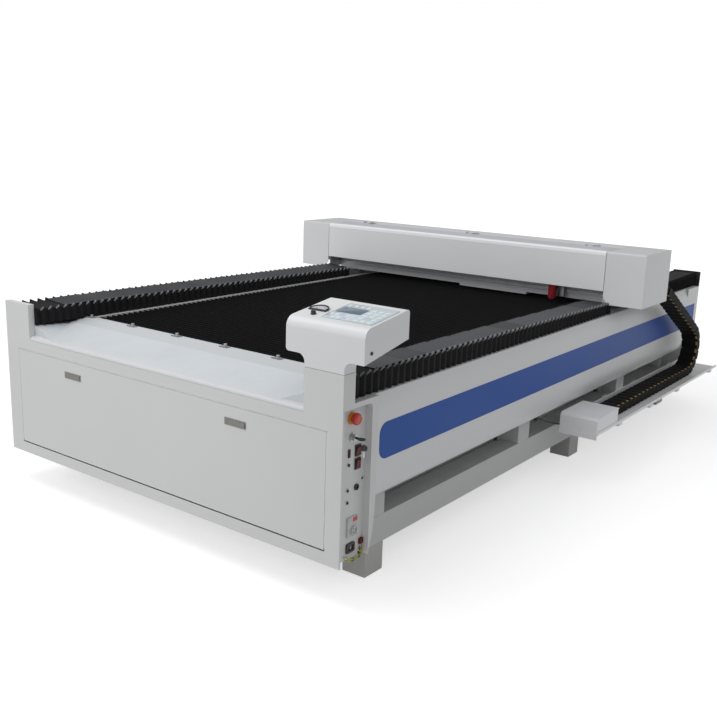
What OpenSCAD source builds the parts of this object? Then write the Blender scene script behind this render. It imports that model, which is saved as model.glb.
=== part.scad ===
// Flatbed laser cutting machine with a travelling gantry, pleated way covers,
// a blade bed, a raised front console and a cable chain along its right side.
// Millimetres. X runs across the machine, Y from front to rear, Z up from the floor.

/* [Overall] */
// Width across the end cabinets
body_w = 1800; // [1700:10:2000]
// Length from the front face to the rear face
body_l = 3500; // [3400:10:3800]
// Height of the cabinets' lower edge above the floor
cabinet_bottom = 143; // [120:1:170]
// Sheet thickness of cabinets, covers and trays
sheet = 3; // [2:0.5:4]
// Running clearance between parts that move past each other
run_gap = 2; // [1:0.5:3]

/* [End cabinets] */
// Depth of each end cabinet
cabinet_d = 190; // [180:1:230]
// Drop from the deck to the fold between end face and tray
fold_drop = 32; // [24:1:45]
// Radius of that fold
fold_r = 14; // [8:1:20]
// Width of the posts that stop the way covers
post_w = 160; // [155:1:165]
// Thickness of the plain posts
post_t = 27; // [20:1:40]
// Height of the posts above the deck
post_h = 101; // [92:1:120]
// Depth of the pillar that carries the console
pillar_d = 60; // [50:1:100]
// Thickness of the plates that stop the rear covers
stop_t = 8; // [5:1:12]
// Height of the cut in the cheeks' lower inner corners
cheek_cut_h = 216; // [150:1:240]
// Depth of that cut
cheek_cut_d = 48; // [30:1:60]

/* [Front door] */
// Gap between the left face and the door
door_left = 84; // [60:1:120]
// Gap between the right face and the door
door_right = 65; // [55:1:100]
// Distance from the cabinet's lower edge up to the door
door_low = 51; // [40:1:80]
// Distance from the fold down to the door
door_high = 62; // [50:1:90]
// Depth of the door's folded rim
door_rim = 20; // [16:1:30]
// Width of the seam round the door
door_seam = 4; // [3:0.5:6]
// Distance of each latch from the middle between them
latch_spread = 448; // [300:1:520]
// Distance from the door's upper edge down to the latches
latch_drop = 56; // [40:1:90]
// How far the latch handles stand out of the door
latch_proud = 3; // [3:0.5:5]

/* [Frame] */
// Distance of the frame's side plane from the cabinets' side face
frame_inset = 68; // [60:1:80]
// Width of the frame tubes
tube_w = 100; // [90:1:105]
// Wall thickness of the frame tubes
tube_wall = 5; // [4:1:8]
// Underside of the lower rails
lower_rail_z = 107; // [90:1:120]
// Height of the lower rails
lower_rail_h = 106; // [80:1:110]
// Height of the upper rails
upper_rail_h = 102; // [80:1:110]
// Top of the upper rails, which carry the guides
deck_z = 690; // [680:1:694]
// Length of each leg along the machine
leg_l = 105; // [90:1:130]
// Distance of the end legs from the end faces
leg_inset = 239; // [235:1:300]

/* [Bed] */
// Height of the blades' top edge above the deck
bed_up = 10; // [6:1:14]
// Distance of the bed from the end faces
bed_inset = 280; // [270:1:320]
// Distance from one blade to the next
blade_pitch = 30; // [25:1:60]
// Height of the blades
blade_h = 50; // [40:1:55]
// Thickness of the blades
blade_t = 3; // [2:0.5:5]
// Width of the bars round the bed
bar_w = 22; // [18:1:30]

/* [Way covers] */
// Width of each pleated cover
bellows_w = 130; // [118:1:134]
// Height of the pleated covers at the posts
bellows_h = 86; // [80:1:90]
// How much lower the covers stand at the gantry
bellows_drop = 26; // [10:1:32]
// Pleat length of the drawn-out front covers
front_pleat = 38; // [30:1:50]
// Pleat length of the rear covers
rear_pleat = 26; // [22:1:40]
// Depth of the pleats
pleat_d = 11; // [6:1:12]

/* [Gantry] */
// Distance of the gantry's front from the machine's front
gantry_y = 2142; // [1900:1:2200]
// Depth of the gantry
gantry_d = 348; // [340:1:360]
// Height of the end caps
gantry_h = 260; // [240:1:290]
// Height of the front cover below the lid
cover_h = 174; // [160:1:180]
// Height of the end caps above the deck
cap_up = 49; // [46:1:60]
// Width of the end caps
cap_w = 199; // [180:1:210]
// Overhang past the left side face
over_left = 187; // [160:1:190]
// Overhang past the right side face
over_right = 142; // [140:1:150]
// Height of the beam above the deck
beam_up = 38; // [36:1:42]
// Height of the beam
beam_h = 72; // [60:1:74]
// Depth of the beam
beam_d = 138; // [120:1:150]
// Height of the hinged lid's skirt
lid_h = 22; // [15:1:30]
// Distance from the lid's hinges back to the gantry's rear
lid_back = 160; // [120:1:190]
// Distance of the cutting head from the right end cap
head_in = 290; // [260:1:700]
// Diameter of the lens tube
lens_d = 42; // [30:1:46]
// Diameter of the laser tube
laser_d = 80; // [60:1:84]

/* [Console] */
// Width of the console
console_w = 313; // [290:1:330]
// Overhang of the console past the right side face
console_over = 75; // [60:1:90]
// Depth of the console
console_d = 235; // [220:1:260]

/* [Cable chain] */
// Width of the chain
chain_w = 90; // [70:1:94]
// Height of the chain
chain_h = 45; // [35:1:48]
// Pitch of the links
chain_pitch = 55; // [50:1:62]
// Radius of the chain's bend, to the middle of the links
bend_r = 123; // [105:1:130]
// Distance of the bend behind the gantry
bend_back = 560; // [430:1:600]
// Height of the chain's moving end above the underside of the end caps
hang_up = 61; // [50:1:120]
// Distance of the chain from the tray's outer edge
chain_edge = 53; // [40:1:60]
// Height of the chain tray above the lower rails
tray_up = 25; // [15:1:35]
// Outer edge of the chain tray past the right side face
tray_over = 185; // [178:1:190]
// Front end of the chain tray
tray_y0 = 1620; // [1500:1:1650]
// Distance of the chain tray's rear end from the rear face
tray_end = 110; // [60:1:180]
// Length of the hood over the chain's fixed end
box_l = 245; // [200:1:300]
// Height of that hood
box_h = 77; // [60:1:90]

/* [Hidden] */
$fn = 48;

// Colours of the finishes
white = "#d6d7d8";
frame_grey = "#8d9094";
blue = "#30559a";
black = "#1b1b1d";
dark = "#3c3e44";
steel = "#b4b7bb";
red = "#a02028";

// Extents of the whole machine, which put the origin under its middle
x_left = -over_left;
x_right = body_w + tray_over;
y_front = -latch_proud;
y_rear = body_l;

// Frame planes, given for the left side and mirrored to the right
frame_x = frame_inset;
frame_in = frame_inset + tube_w;
lower_top = lower_rail_z + lower_rail_h;
upper_z = deck_z - upper_rail_h;
leg_ys = [leg_inset, body_l / 2 + 172, body_l - leg_inset - leg_l];
bay = 0.319 * body_l;
upright_ys = [leg_inset, leg_inset + bay, leg_inset + 2 * bay];
cross_ys = concat(upright_ys, [body_l - leg_inset - leg_l]);
rear_post = 60;

// Side skin of the machine, from its top flange down to its turned-in lower lip
skin_lean = 18;
skin_bend_z = deck_z - 50;
skin_curl_z = deck_z - 280;
skin_curl = [40, 90];
skin_lip = 12;
stripe_drop = 50;
stripe_h = 129;

// Tray that leads from the end face up to the bed, and the rails that start where it has cleared them
fold_z = deck_z - fold_drop;
post_top = deck_z + post_h;
bed_z = deck_z + bed_up;
tray_lip = 26;
tray_top = bed_z + 2;
tray_slope_y = bed_inset - 6;
tray_rise = tray_top + sheet - fold_z;
tray_clear = 2;
rail_end = fold_r + (deck_z + sheet + tray_clear - fold_z) * (tray_slope_y - fold_r) / tray_rise;
fold_seam = 0.5;
bar_gap = 0.4;

// Way covers
cover_in = post_w - run_gap;
cover_out = cover_in - bellows_w;
cover_foot = deck_z + 6;
cover_wall = 2;
attach = 0.5;
gantry_back = gantry_y + gantry_d;
guide_x = frame_x + 30;
guide_w = 20;
guide_h = 20;
slide_gap = 0.3;

// Gantry planes
cap_bottom = deck_z + cap_up;
gantry_top = cap_bottom + gantry_h;
beam_bottom = deck_z + beam_up;
cap_in_l = cap_w - over_left;
cap_in_r = body_w + over_right - cap_w;
plate_t = 6;
cover_lip = 12;
beam_y = gantry_y + 120;
gantry_mid = (cap_in_l + cap_in_r) / 2;
guard_l = 410;
guard_x = gantry_mid + 187;
guard_t = 12;
cover_seam = 2;
lid_z = gantry_top - lid_h;
cover_bottom = lid_z - cover_h;
lid_hinge_r = 5;
lid_pin_r = 2.2;
lid_hinge_y = gantry_back - lid_back;
lid_hinge_z = gantry_top + lid_hinge_r;
lid_hinge_in = 157;
lid_leaf = 26;
lid_hinge_xs = [cap_in_l + lid_hinge_in, gantry_mid, cap_in_r - lid_hinge_in];
head_x = cap_in_r - head_in;
pin_clear = 0.05;
knuckle_l = 24;

// Front door
door_x0 = door_left;
door_x1 = body_w - door_right;
door_bottom = cabinet_bottom + door_low;
door_top = fold_z - door_high;
latch_z = door_top - latch_drop;
door_hinge_y = 8;
door_hinge_up = 5;
door_hinge_r = 3.5;
door_pin_r = 1.6;
door_hinge_z = door_bottom + door_hinge_up;
door_sill = door_hinge_z - sqrt(pow(door_hinge_y, 2) + pow(door_hinge_up, 2)) - 1;
door_mid = (door_x0 + door_x1) / 2;
door_hinge_xs = [door_x0 + 180, door_mid, door_x1 - 180];
door_sweep = norm([door_hinge_y, door_hinge_up]);
latch_mid = door_mid - 20;
latch_size = [100, 26];
latch_mouth = [-31, 47];
latch_pivot = [41, 1];
latch_pin_r = 1.5;

// Recess in the right cheek for the switches, open at its lower end
pocket_top = deck_z - 17;
pocket_y0 = 8;
pocket_y1 = 157;
pocket_depth = 28;
plate_x = body_w - pocket_depth;
column_h = 530;

// Height on the plate, from a distance below the recess's top
function down(d) = pocket_top - d * (pocket_top - cabinet_bottom) / column_h;

// Console above the pillar
console_x1 = body_w + console_over;
console_x0 = console_x1 - console_w;
neck_h = 42;
console_h = 115;
console_rise = 30;
console_seam = 1.2;
console_front_z = post_top + neck_h;
console_top_front = console_front_z + console_h;
console_top_back = console_top_front + console_rise;
console_round = 36;
console_tilt = atan((console_top_back - console_top_front) / (console_d - console_round));

// Chain path, from its fixed end in the tray to the gantry
chain_x1 = x_right - chain_edge;
chain_x0 = chain_x1 - chain_w;
tray_x0 = body_w + 5;
tray_z = lower_top + tray_up;
tray_y1 = body_l - tray_end;
tray_floor = tray_z + sheet;
tray_wall_h = 45;
tray_lip_h = 14;
box_skirt = 18;
box_bevel = 12;
chain_low = tray_floor + chain_h / 2 + 0.3;
chain_y0 = tray_y0 + box_l + 5;
bend_y = gantry_back + bend_back;
low_len = bend_y - chain_y0;
bend_c = [bend_y, chain_low + bend_r];
hang_end_y = gantry_back + 30;
hang_reach = [hang_end_y, cap_bottom + hang_up] - bend_c;
run_slope = 90 - atan2(hang_reach[1], hang_reach[0]) + acos(bend_r / norm(hang_reach));
arc_deg = 180 - run_slope;
arc_len = bend_r * arc_deg * PI / 180;
hang_start = bend_c + bend_r * [sin(run_slope), cos(run_slope)];
hang_len = (hang_start[0] - hang_end_y) / cos(run_slope);
chain_len = low_len + arc_len + hang_len;
link_count = floor(chain_len / chain_pitch);
link_gap = 0.3;

// Point on the chain's path, as Y and Z, at a distance from its fixed end
function chain_at(s) =
    s < low_len ? [chain_y0 + s, chain_low] :
    s < low_len + arc_len ?
        let (a = -90 + (s - low_len) / bend_r * 180 / PI) bend_c + bend_r * [cos(a), sin(a)] :
    hang_start + (s - low_len - arc_len) * [-cos(run_slope), sin(run_slope)];

// Points of an arc round c
function arc(c, r, a0, a1, n = 6) = [for (i = [0:n])
    let (a = a0 + (a1 - a0) * i / n)
    c + r * [cos(a), sin(a)]];

// Outline of a folded sheet that follows a path, with its thickness to the left
function left_of(a, b) = let (d = (b - a) / norm(b - a)) [-d[1], d[0]];
function offset_at(p, i, t) =
    let (
        last = len(p) - 1,
        before = left_of(p[max(i - 1, 0)], p[max(i, 1)]),
        after = left_of(p[min(i, last - 1)], p[min(i + 1, last)]),
        m = before + after
    )
    p[i] + 2 * t * m / (m * m);
function folded(p, t) = concat(p, [for (i = [len(p) - 1:-1:0]) offset_at(p, i, t)]);

// The machine stands over the origin, in the middle of its own box
module place() {
    translate([-(x_left + x_right) / 2, -(y_front + y_rear) / 2, 0]) children();
}

// Solid between two corners
module block(lo, hi) {
    translate(lo) cube(hi - lo);
}

// Prism along Y of an outline in X and Z
module along_y(points, y0, y1) {
    translate([0, y1, 0]) rotate([90, 0, 0]) linear_extrude(y1 - y0) polygon(points);
}

// Prism along X of an outline in Y and Z
module along_x(points, x0, x1) {
    translate([x0, 0, 0]) rotate([90, 0, 90]) linear_extrude(x1 - x0) polygon(points);
}

// Rod along X
module rod_x(x0, x1, y, z, r) {
    translate([x0, y, z]) rotate([0, 90, 0]) cylinder(h = x1 - x0, r = r);
}

// The same thing on both sides of the machine
module both_sides() {
    children();
    translate([body_w, 0, 0]) mirror([1, 0, 0]) children();
}

// The same thing at the rear, turned to face the other way
module at_rear() {
    translate([0, body_l, 0]) mirror([0, 1, 0]) children();
}

// Hollow square tube between two corners, open along one axis
module tube_between(lo, hi, axis) {
    wall = [for (i = [0:2]) i == axis ? -1 : tube_wall];
    difference() {
        block(lo, hi);
        block(lo + wall, hi - wall);
    }
}

module lower_rails() {
    end = cabinet_d + 5;
    color(frame_grey) place() both_sides()
        tube_between([frame_x, end, lower_rail_z], [frame_in, body_l - end, lower_top], 1);
}

module upper_rails() {
    color(frame_grey) place() both_sides()
        tube_between([frame_x, rail_end, upper_z], [frame_in, body_l - rail_end, deck_z], 1);
}

// Uprights between the rails, with slimmer ones inside at the rear
module uprights() {
    y1 = body_l - cabinet_d - 10;
    color(frame_grey) place() both_sides() {
        for (y = upright_ys)
            tube_between([frame_x, y, lower_top], [frame_in, y + leg_l, upper_z], 2);
        tube_between([frame_in - rear_post, y1 - rear_post, lower_top], [frame_in, y1, upper_z], 2);
    }
}

// Ties across the frame, low between the legs and high under the scrap tray
module cross_members() {
    color(frame_grey) place() for (y = cross_ys) {
        tube_between([frame_in, y, lower_rail_z], [body_w - frame_in, y + leg_l, lower_top], 0);
        tube_between([frame_in, y, upper_z - 60], [body_w - frame_in, y + leg_l, upper_z], 0);
        both_sides() block([frame_in, y, upper_z - 90], [frame_in + 10, y + leg_l, upper_z - 60]);
    }
}

// Sheets that close the frame behind its windows, and the wall in front of the rear cabinet
module inner_panels() {
    back_off = 18;
    gap = 45;
    x = frame_in + back_off;
    color(frame_grey) place() {
        both_sides() for (i = [0:len(cross_ys) - 2])
            block([x, cross_ys[i] + leg_l, lower_rail_z + gap],
                [x + sheet, cross_ys[i + 1] - gap, upper_z - 60]);
        block([sheet, body_l - cabinet_d, lower_top - 13],
            [body_w - sheet, body_l - cabinet_d + sheet, fold_z]);
    }
}

module legs() {
    color(frame_grey) place() both_sides() for (y = leg_ys) difference() {
        block([frame_x, y, 0], [frame_in, y + leg_l, lower_rail_z]);
        block([frame_x, y, 0] + tube_wall * [1, 1, 1],
            [frame_in - tube_wall, y + leg_l - tube_wall, lower_rail_z + 1]);
    }
}

// Outline of a cabinet's cheek in Y and Z, with its lower inner corner cut in a curve
function cheek_outline() = let (floor_d = cabinet_d - cheek_cut_d) concat(
    [[0, cabinet_bottom], [floor_d, cabinet_bottom]],
    [for (a = [-75:15:0]) [floor_d + cheek_cut_d * cos(a), cabinet_bottom + cheek_cut_h * (1 + sin(a))]],
    [[cabinet_d, deck_z], [0, deck_z]]);

// Outline of an end face in X and Z, with its two posts
function face_outline(top) = let (fold = fold_z - fold_r - fold_seam) [
    [0, cabinet_bottom], [body_w, cabinet_bottom], [body_w, top], [body_w - post_w, top],
    [body_w - post_w, fold], [post_w, fold], [post_w, top], [0, top]];

// Folded cabinet of an end: face, cheeks, floor and shoulders
module end_cabinet(top) {
    along_y(face_outline(top), 0, sheet);
    along_x(cheek_outline(), 0, sheet);
    along_x(cheek_outline(), body_w - sheet, body_w);
    block([0, 0, cabinet_bottom], [body_w, cabinet_d - cheek_cut_d, cabinet_bottom + sheet]);
    both_sides() {
        block([0, 0, deck_z - sheet], [frame_x, cabinet_d, deck_z]);
        block([frame_x, 0, deck_z - sheet], [post_w, rail_end - 1, deck_z]);
        along_y([[0, skin_bend_z], [skin_lean, deck_z], [0, deck_z]],
            cabinet_d - 2 * sheet - fold_seam, cabinet_d - sheet - fold_seam);
    }
}

// Hollow post on a cabinet's left corner
module post(depth) {
    difference() {
        block([0, 0, fold_z - 40], [post_w, depth, post_top]);
        block([sheet, sheet, fold_z - 50], [post_w - sheet, depth - sheet, post_top - sheet]);
    }
}

// Recess with a rounded upper rear corner, as a cutter of the cheek, or its lining when grown
module pocket(grow) {
    corner = 18;
    foot = cabinet_bottom - (grow > 0 ? 0 : 1);
    outline = concat(
        [[pocket_y0 - grow, foot], [pocket_y1 + grow, foot]],
        arc([pocket_y1 - corner, pocket_top - corner], corner + grow, 0, 90),
        [[pocket_y0 - grow, pocket_top + grow]]);
    along_x(outline, plate_x - grow, body_w + (grow > 0 ? 0 : 1));
}

module front_cabinet() {
    color(white) place() difference() {
        union() {
            end_cabinet(post_top);
            post(post_t);
            translate([body_w, 0, 0]) mirror([1, 0, 0]) post(pillar_d);
            pocket(sheet);
        }
        pocket(0);
        block([door_x0 - door_seam, -1, door_sill], [door_x1 + door_seam, sheet + 1, door_top + door_seam]);
    }
}

module rear_cabinet() {
    color(white) place() at_rear() end_cabinet(deck_z);
}

// Plates on the rear shoulders that stop the way covers
module rear_stops() {
    top = cover_foot + bellows_h - 6;
    color(black) place() at_rear() both_sides() block([0, 0, deck_z], [post_w, stop_t, top]);
}

// Sheet that folds back from the end face and rises to the bed, with a gusset at each post
module bed_tray() {
    slope_y = tray_slope_y;
    rise = tray_rise;
    lean = atan(rise / slope_y);
    path = concat(
        [[bed_inset + tray_lip, tray_top + sheet], [slope_y, tray_top + sheet]],
        arc([fold_r, fold_z - fold_r], fold_r, 90 + lean, 180));
    along_x(folded(path, sheet), post_w, body_w - post_w);
    at = function (y) fold_z + (y - fold_r) * rise / (slope_y - fold_r);
    both_sides() polyhedron(
        points = [
            [post_w, post_t, at(post_t) - 2], [post_w + 125, fold_r + 6, at(fold_r + 6) - 2],
            [post_w, slope_y - 70, at(slope_y - 70) - 2], [post_w, post_t, deck_z + 14]],
        faces = [[0, 1, 2], [0, 3, 1], [1, 3, 2], [2, 3, 0]]);
}

module front_tray() {
    color(white) place() bed_tray();
}

module rear_tray() {
    color(white) place() at_rear() bed_tray();
}

// Side skin: flange at the rail, leaning shoulder, flat side and a lower edge that curls under
module side_covers() {
    path = concat(
        [[frame_x, deck_z], [skin_lean, deck_z], [0, skin_bend_z], [0, skin_curl_z]],
        [for (a = [15:15:75]) [skin_curl[0] * (1 - cos(a)), skin_curl_z - skin_curl[1] * sin(a)]],
        [[skin_curl[0], skin_curl_z - skin_curl[1]], [skin_curl[0] + skin_lip, skin_curl_z - skin_curl[1]]]);
    color(white) place() both_sides() along_y(folded(path, sheet), cabinet_d, body_l - cabinet_d);
}

// Painted band along each side, with rounded front corners
module stripes() {
    band = 0.6;
    z1 = skin_bend_z - stripe_drop;
    z0 = z1 - stripe_h;
    y0 = cabinet_d + 10;
    y1 = body_l - 50;
    corner = 40;
    outline = concat(
        arc([y0 + corner, z0 + corner], corner, 270, 180), arc([y0 + corner, z1 - corner], corner, 180, 90),
        [[y1, z1], [y1, z0]]);
    color(blue) place() both_sides() along_x(outline, -band, 0);
}

// Bars round the bed
module bed_bars() {
    x0 = frame_in;
    x1 = body_w - frame_in;
    y0 = bed_inset;
    y1 = body_l - bed_inset;
    z0 = upper_z + 10;
    color(steel) place() {
        both_sides() block([x0, y0, z0], [x0 + bar_w, y1, tray_top]);
        for (y = [y0, y1 - bar_w])
            block([x0 + bar_w + bar_gap, y, z0], [x1 - bar_w - bar_gap, y + bar_w, tray_top]);
    }
}

// Blades that carry the sheet being cut
module bed_blades() {
    y0 = bed_inset + bar_w;
    span = body_l - 2 * y0;
    count = floor(span / blade_pitch) - 1;
    first = y0 + (span - (count - 1) * blade_pitch) / 2;
    color(black) place() for (i = [0:count - 1])
        block([frame_in + bar_w, first + i * blade_pitch - blade_t / 2, bed_z - blade_h],
            [body_w - frame_in - bar_w, first + i * blade_pitch + blade_t / 2, bed_z]);
}

// Turned knobs that hold the tray down on the bed's front bar
module bed_clips() {
    pitch = 270;
    color(steel) place() for (x = [frame_in + bar_w:pitch:body_w - frame_in - bar_w])
        translate([x, bed_inset + bar_w / 2, tray_top + sheet]) {
            cylinder(h = 4, r = 9);
            translate([0, 0, 4]) cylinder(h = 8, r1 = 6, r2 = 7);
        }
}

// Pan under the blades that catches what falls through
module scrap_tray() {
    x0 = frame_in + run_gap;
    y0 = bed_inset + run_gap;
    lo = [x0, y0, upper_z];
    hi = [body_w - x0, body_l - y0, upper_z + 8];
    color(dark) place() difference() {
        block(lo, hi);
        block(lo + sheet * [1, 1, 1], hi + [-sheet, -sheet, 1]);
    }
}

// Linear guides under the way covers
module y_rails() {
    groove = 4;
    half = guide_w / 2;
    right = [
        [half, 0], [half, guide_h - 8], [half - groove, guide_h - 5], [half, guide_h - 2], [half, guide_h]];
    left = [for (i = [len(right) - 1:-1:0]) [-right[i][0], right[i][1]]];
    color(steel) place() both_sides()
        along_y([for (p = concat(right, left)) p + [guide_x, deck_z]],
            rail_end + 5, body_l - rail_end - 5);
}

// Pleated cover of U section between y0 and y1, h0 and h1 high at its ends
module bellows(y0, y1, h0, h1, pleat) {
    folds = 2 * round((y1 - y0) / pleat);
    rings = [for (i = [0:folds])
        let (
            t = i / folds,
            y = y0 + (y1 - y0) * t,
            inset = (i % 2) * pleat_d,
            top = cover_foot + h0 + (h1 - h0) * t - inset,
            a = cover_out + inset,
            b = cover_in - inset,
            w = cover_wall
        )
        each [
            [a, y, cover_foot], [a, y, top], [b, y, top], [b, y, cover_foot],
            [b - w, y, cover_foot], [b - w, y, top - w], [a + w, y, top - w], [a + w, y, cover_foot]]];
    sides = [for (i = [0:folds - 1], k = [0:7])
        let (a = 8 * i + k, b = 8 * i + (k + 1) % 8)
        each [[a, b, b + 8], [a, b + 8, a + 8]]];
    ends = [[0, 7, 6, 1], [1, 6, 5, 2], [2, 5, 4, 3]];
    far = [for (f = ends) [for (k = [3:-1:0]) f[k] + 8 * folds]];
    polyhedron(points = rings, faces = concat(ends, far, sides));
}

module front_bellows() {
    h1 = bellows_h - bellows_drop;
    color(black) place() {
        bellows(post_t, gantry_y - attach, bellows_h, h1, front_pleat);
        translate([body_w, 0, 0]) mirror([1, 0, 0])
            bellows(pillar_d, gantry_y - attach, bellows_h, h1, front_pleat);
    }
}

module rear_bellows() {
    color(black) place() both_sides()
        bellows(gantry_back + attach, body_l - stop_t, bellows_h - bellows_drop, bellows_h - 8, rear_pleat);
}

// Folded trough that carries the lower run of the cable chain
module chain_tray() {
    path = [
        [tray_x0, tray_z + tray_wall_h], [tray_x0, tray_z],
        [x_right, tray_z], [x_right, tray_z + tray_lip_h]];
    color(white) place() along_y(folded(path, sheet), tray_y0, tray_y1);
}

// Angle brackets from the lower rail out to the trough
module tray_brackets() {
    arm = 14;
    width = 40;
    pitch = 410;
    first = chain_y0 + 10;
    x0 = body_w - frame_x;
    foot = lower_rail_z + 60;
    outline = [
        [x0, foot], [x0 + arm, foot], [x0 + arm, tray_z - 2 * arm], [x_right, tray_z - arm],
        [x_right, tray_z], [x0, tray_z]];
    color(white) place() for (y = [first, first + pitch, first + 2 * pitch, tray_y1 - 3 * width])
        along_y(outline, y, y + width);
}

// Hood over the chain's fixed end, open at the rear and below, with a front skirt
module chain_box() {
    y0 = tray_y0 - fold_seam - sheet;
    y1 = chain_y0 - 5;
    top = tray_floor + box_h;
    foot = tray_z - box_skirt;
    path = [[y1, top], [y0 + box_bevel, top], [y0, top - box_bevel], [y0, foot]];
    side = [[y0, tray_floor], [y0, top - box_bevel], [y0 + box_bevel, top], [y1, top], [y1, tray_floor]];
    x0 = tray_x0 + sheet + 1;
    x1 = x_right - sheet - 1;
    color(white) place() {
        along_x(folded(path, sheet), tray_x0, x_right);
        block([tray_x0, y0 - sheet, foot], [x_right, y0 + sheet, tray_floor]);
        for (x = [x0, x1 - sheet])
            along_x(side, x, x + sheet);
    }
}

// Link of the chain, along +Y from its pivot: cranked side plates and two cross bars
module chain_link() {
    plate = 5;
    r = chain_h / 2;
    bar = 4;
    crank_y0 = r + link_gap + 0.2;
    crank_y1 = chain_pitch - r - 1;
    module lobe(y, x0, x1) {
        translate([x0, y, 0]) rotate([0, 90, 0]) cylinder(h = x1 - x0, r = r, $fn = 32);
    }
    module side() {
        lobe(0, 0, plate - link_gap);
        block([0, 0, -r], [plate - link_gap, crank_y1, r]);
        lobe(chain_pitch, plate, 2 * plate);
        block([plate, crank_y0, -r], [2 * plate, chain_pitch, r]);
        block([0, crank_y0, -r], [2 * plate, crank_y1, r]);
    }
    side();
    translate([chain_w, 0, 0]) mirror([1, 0, 0]) side();
    for (z = [-r, r - bar])
        block([plate, crank_y0, z], [chain_w - plate, crank_y1, z + bar]);
}

module cable_chain() {
    color(black) place() for (i = [0:link_count - 1])
        let (a = chain_at(i * chain_pitch), b = chain_at((i + 1) * chain_pitch), d = b - a)
        translate([chain_x0, a[0], a[1]]) rotate([atan2(d[1], d[0]), 0, 0]) chain_link();
}

// Console housing: a wedge with a rounded front edge on a flared neck
module console() {
    under_back = console_front_z + console_h * 0.42;
    back_r = 10;
    front_c = [console_round, console_top_front - console_round / cos(console_tilt)];
    back_y = console_d - back_r;
    back_top = console_top_front + (back_y - console_round) * tan(console_tilt);
    back_c = [back_y, back_top - back_r / cos(console_tilt)];
    profile = concat(
        [[0, console_front_z]],
        arc(front_c, console_round, 180, 90 + console_tilt, 8),
        arc(back_c, back_r, 90 + console_tilt, 0, 4),
        [[console_d, under_back]]);
    neck_x0 = body_w - post_w;
    flare = 26;
    neck = concat(
        [[neck_x0, post_top + console_seam], [body_w, post_top + console_seam]],
        arc([body_w + flare, console_front_z - flare], flare, 180, 90),
        [[body_w, console_front_z + 30], [neck_x0, console_front_z + 30]],
        arc([neck_x0 - flare, console_front_z - flare], flare, 90, 0));
    corner = 12;
    over = console_top_back + 20;
    face = concat(
        arc([console_x0 + corner, console_front_z + corner], corner, 180, 270),
        [[console_x1, console_front_z], [console_x1, over], [console_x0, over]]);
    color(white) place() {
        intersection() {
            along_x(profile, console_x0, console_x1);
            along_y(face, -1, console_d + 1);
        }
        along_y(neck, 0, pillar_d);
        block([neck_x0 + sheet, sheet, post_top], [body_w - sheet, pillar_d - sheet, console_front_z]);
    }
}

// Things on the console's sloping top, placed from its front left corner
module on_console() {
    translate([console_x0, console_round, console_top_front]) rotate([console_tilt, 0, 0]) children();
}

module keypad() {
    color("#b9cbe0") place() on_console() block([102, 12, 0], [console_w - 14, 70, 1.5]);
}

module display() {
    color(dark) place() on_console() block([108, 76, 0], [console_w - 104, 126, 3]);
}

// Dial behind an arched frame, with its knob in front
module meter() {
    r = 36;
    color(dark) place() on_console() {
        translate([51, 62, 0]) linear_extrude(12) intersection() {
            circle(r);
            translate([-r, -8]) square([2 * r, r + 8]);
        }
        translate([64, 22, 0]) cylinder(h = 18, r = 10);
    }
}

// Things on the plate in the recess
module on_plate(y, z) {
    translate([plate_x, y, z]) children();
}

// Disc or sleeve that stands out of the plate
module stud(r, h, from = 0) {
    translate([from, 0, 0]) rotate([0, 90, 0]) cylinder(h = h, r = r);
}

estop_at = [82, down(41)];
estop_boss = 9;
estop_press = 6;
module estop_collar() {
    color("#d8a020") place() on_plate(estop_at[0], estop_at[1]) difference() {
        union() {
            stud(21, 5);
            stud(15, estop_boss);
        }
        stud(8.1, 20, -1);
    }
}

module estop_button() {
    gap = 1;
    head = estop_boss + estop_press + gap;
    color(red) place() on_plate(estop_at[0], estop_at[1]) {
        stud(8, head - estop_press, estop_press + 0.5);
        translate([head, 0, 0]) {
            stud(20, 9);
            translate([9, 0, 0]) rotate([0, 90, 0]) cylinder(h = 6, r1 = 20, r2 = 15);
        }
    }
}

key_at = [87, down(106)];
module key_switch() {
    color(steel) place() on_plate(key_at[0], key_at[1]) difference() {
        union() {
            stud(15, 4);
            stud(11, 16);
        }
        stud(4.1, 18, 2);
    }
}

// Key with its flat bow
module key() {
    color(black) place() on_plate(key_at[0], key_at[1]) {
        stud(4, 20, 3);
        half_bow = [[20, -4], [25, -4], [31, -10], [46, -10], [51, -6]];
        translate([0, 0, -2]) linear_extrude(4)
            polygon(concat(half_bow, [for (i = [4:-1:0]) [half_bow[i][0], -half_bow[i][1]]]));
    }
}

// Two lit rockers in their frames, each hung on a pin across it
rocker_ats = [[119, down(158)], [119, down(203)]];
rocker_size = [22, 30];
rocker_axis = 4;
rocker_tilt = 8;
module rocker_frames() {
    w = rocker_size[0] / 2;
    h = rocker_size[1] / 2;
    color(black) place() for (p = rocker_ats) on_plate(p[0], p[1]) difference() {
        block([0, -w - 3, -h - 4], [5, w + 3, h + 4]);
        block([1, -w, -h], [6, w, h]);
        translate([rocker_axis, 0, 0]) rotate([90, 0, 0])
            cylinder(h = 2 * w + 4, r = 1.05, center = true, $fn = 24);
    }
}

module rocker(i) {
    w = rocker_size[0] / 2 - 0.5;
    h = rocker_size[1] / 2 - 1.5;
    p = rocker_ats[i];
    paddle = [[0.5, -h], [4, -h], [3, 0], [4, h], [0.5, h], [-1.2, 0]];
    color(red) place() on_plate(p[0], p[1]) translate([rocker_axis, 0, 0]) rotate([0, rocker_tilt, 0]) {
        along_y(paddle, -w, w);
        rotate([90, 0, 0]) cylinder(h = 2 * w + 4, r = 1, center = true, $fn = 24);
    }
}

module rocker_upper() {
    rocker(0);
}

module rocker_lower() {
    rocker(1);
}

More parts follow.
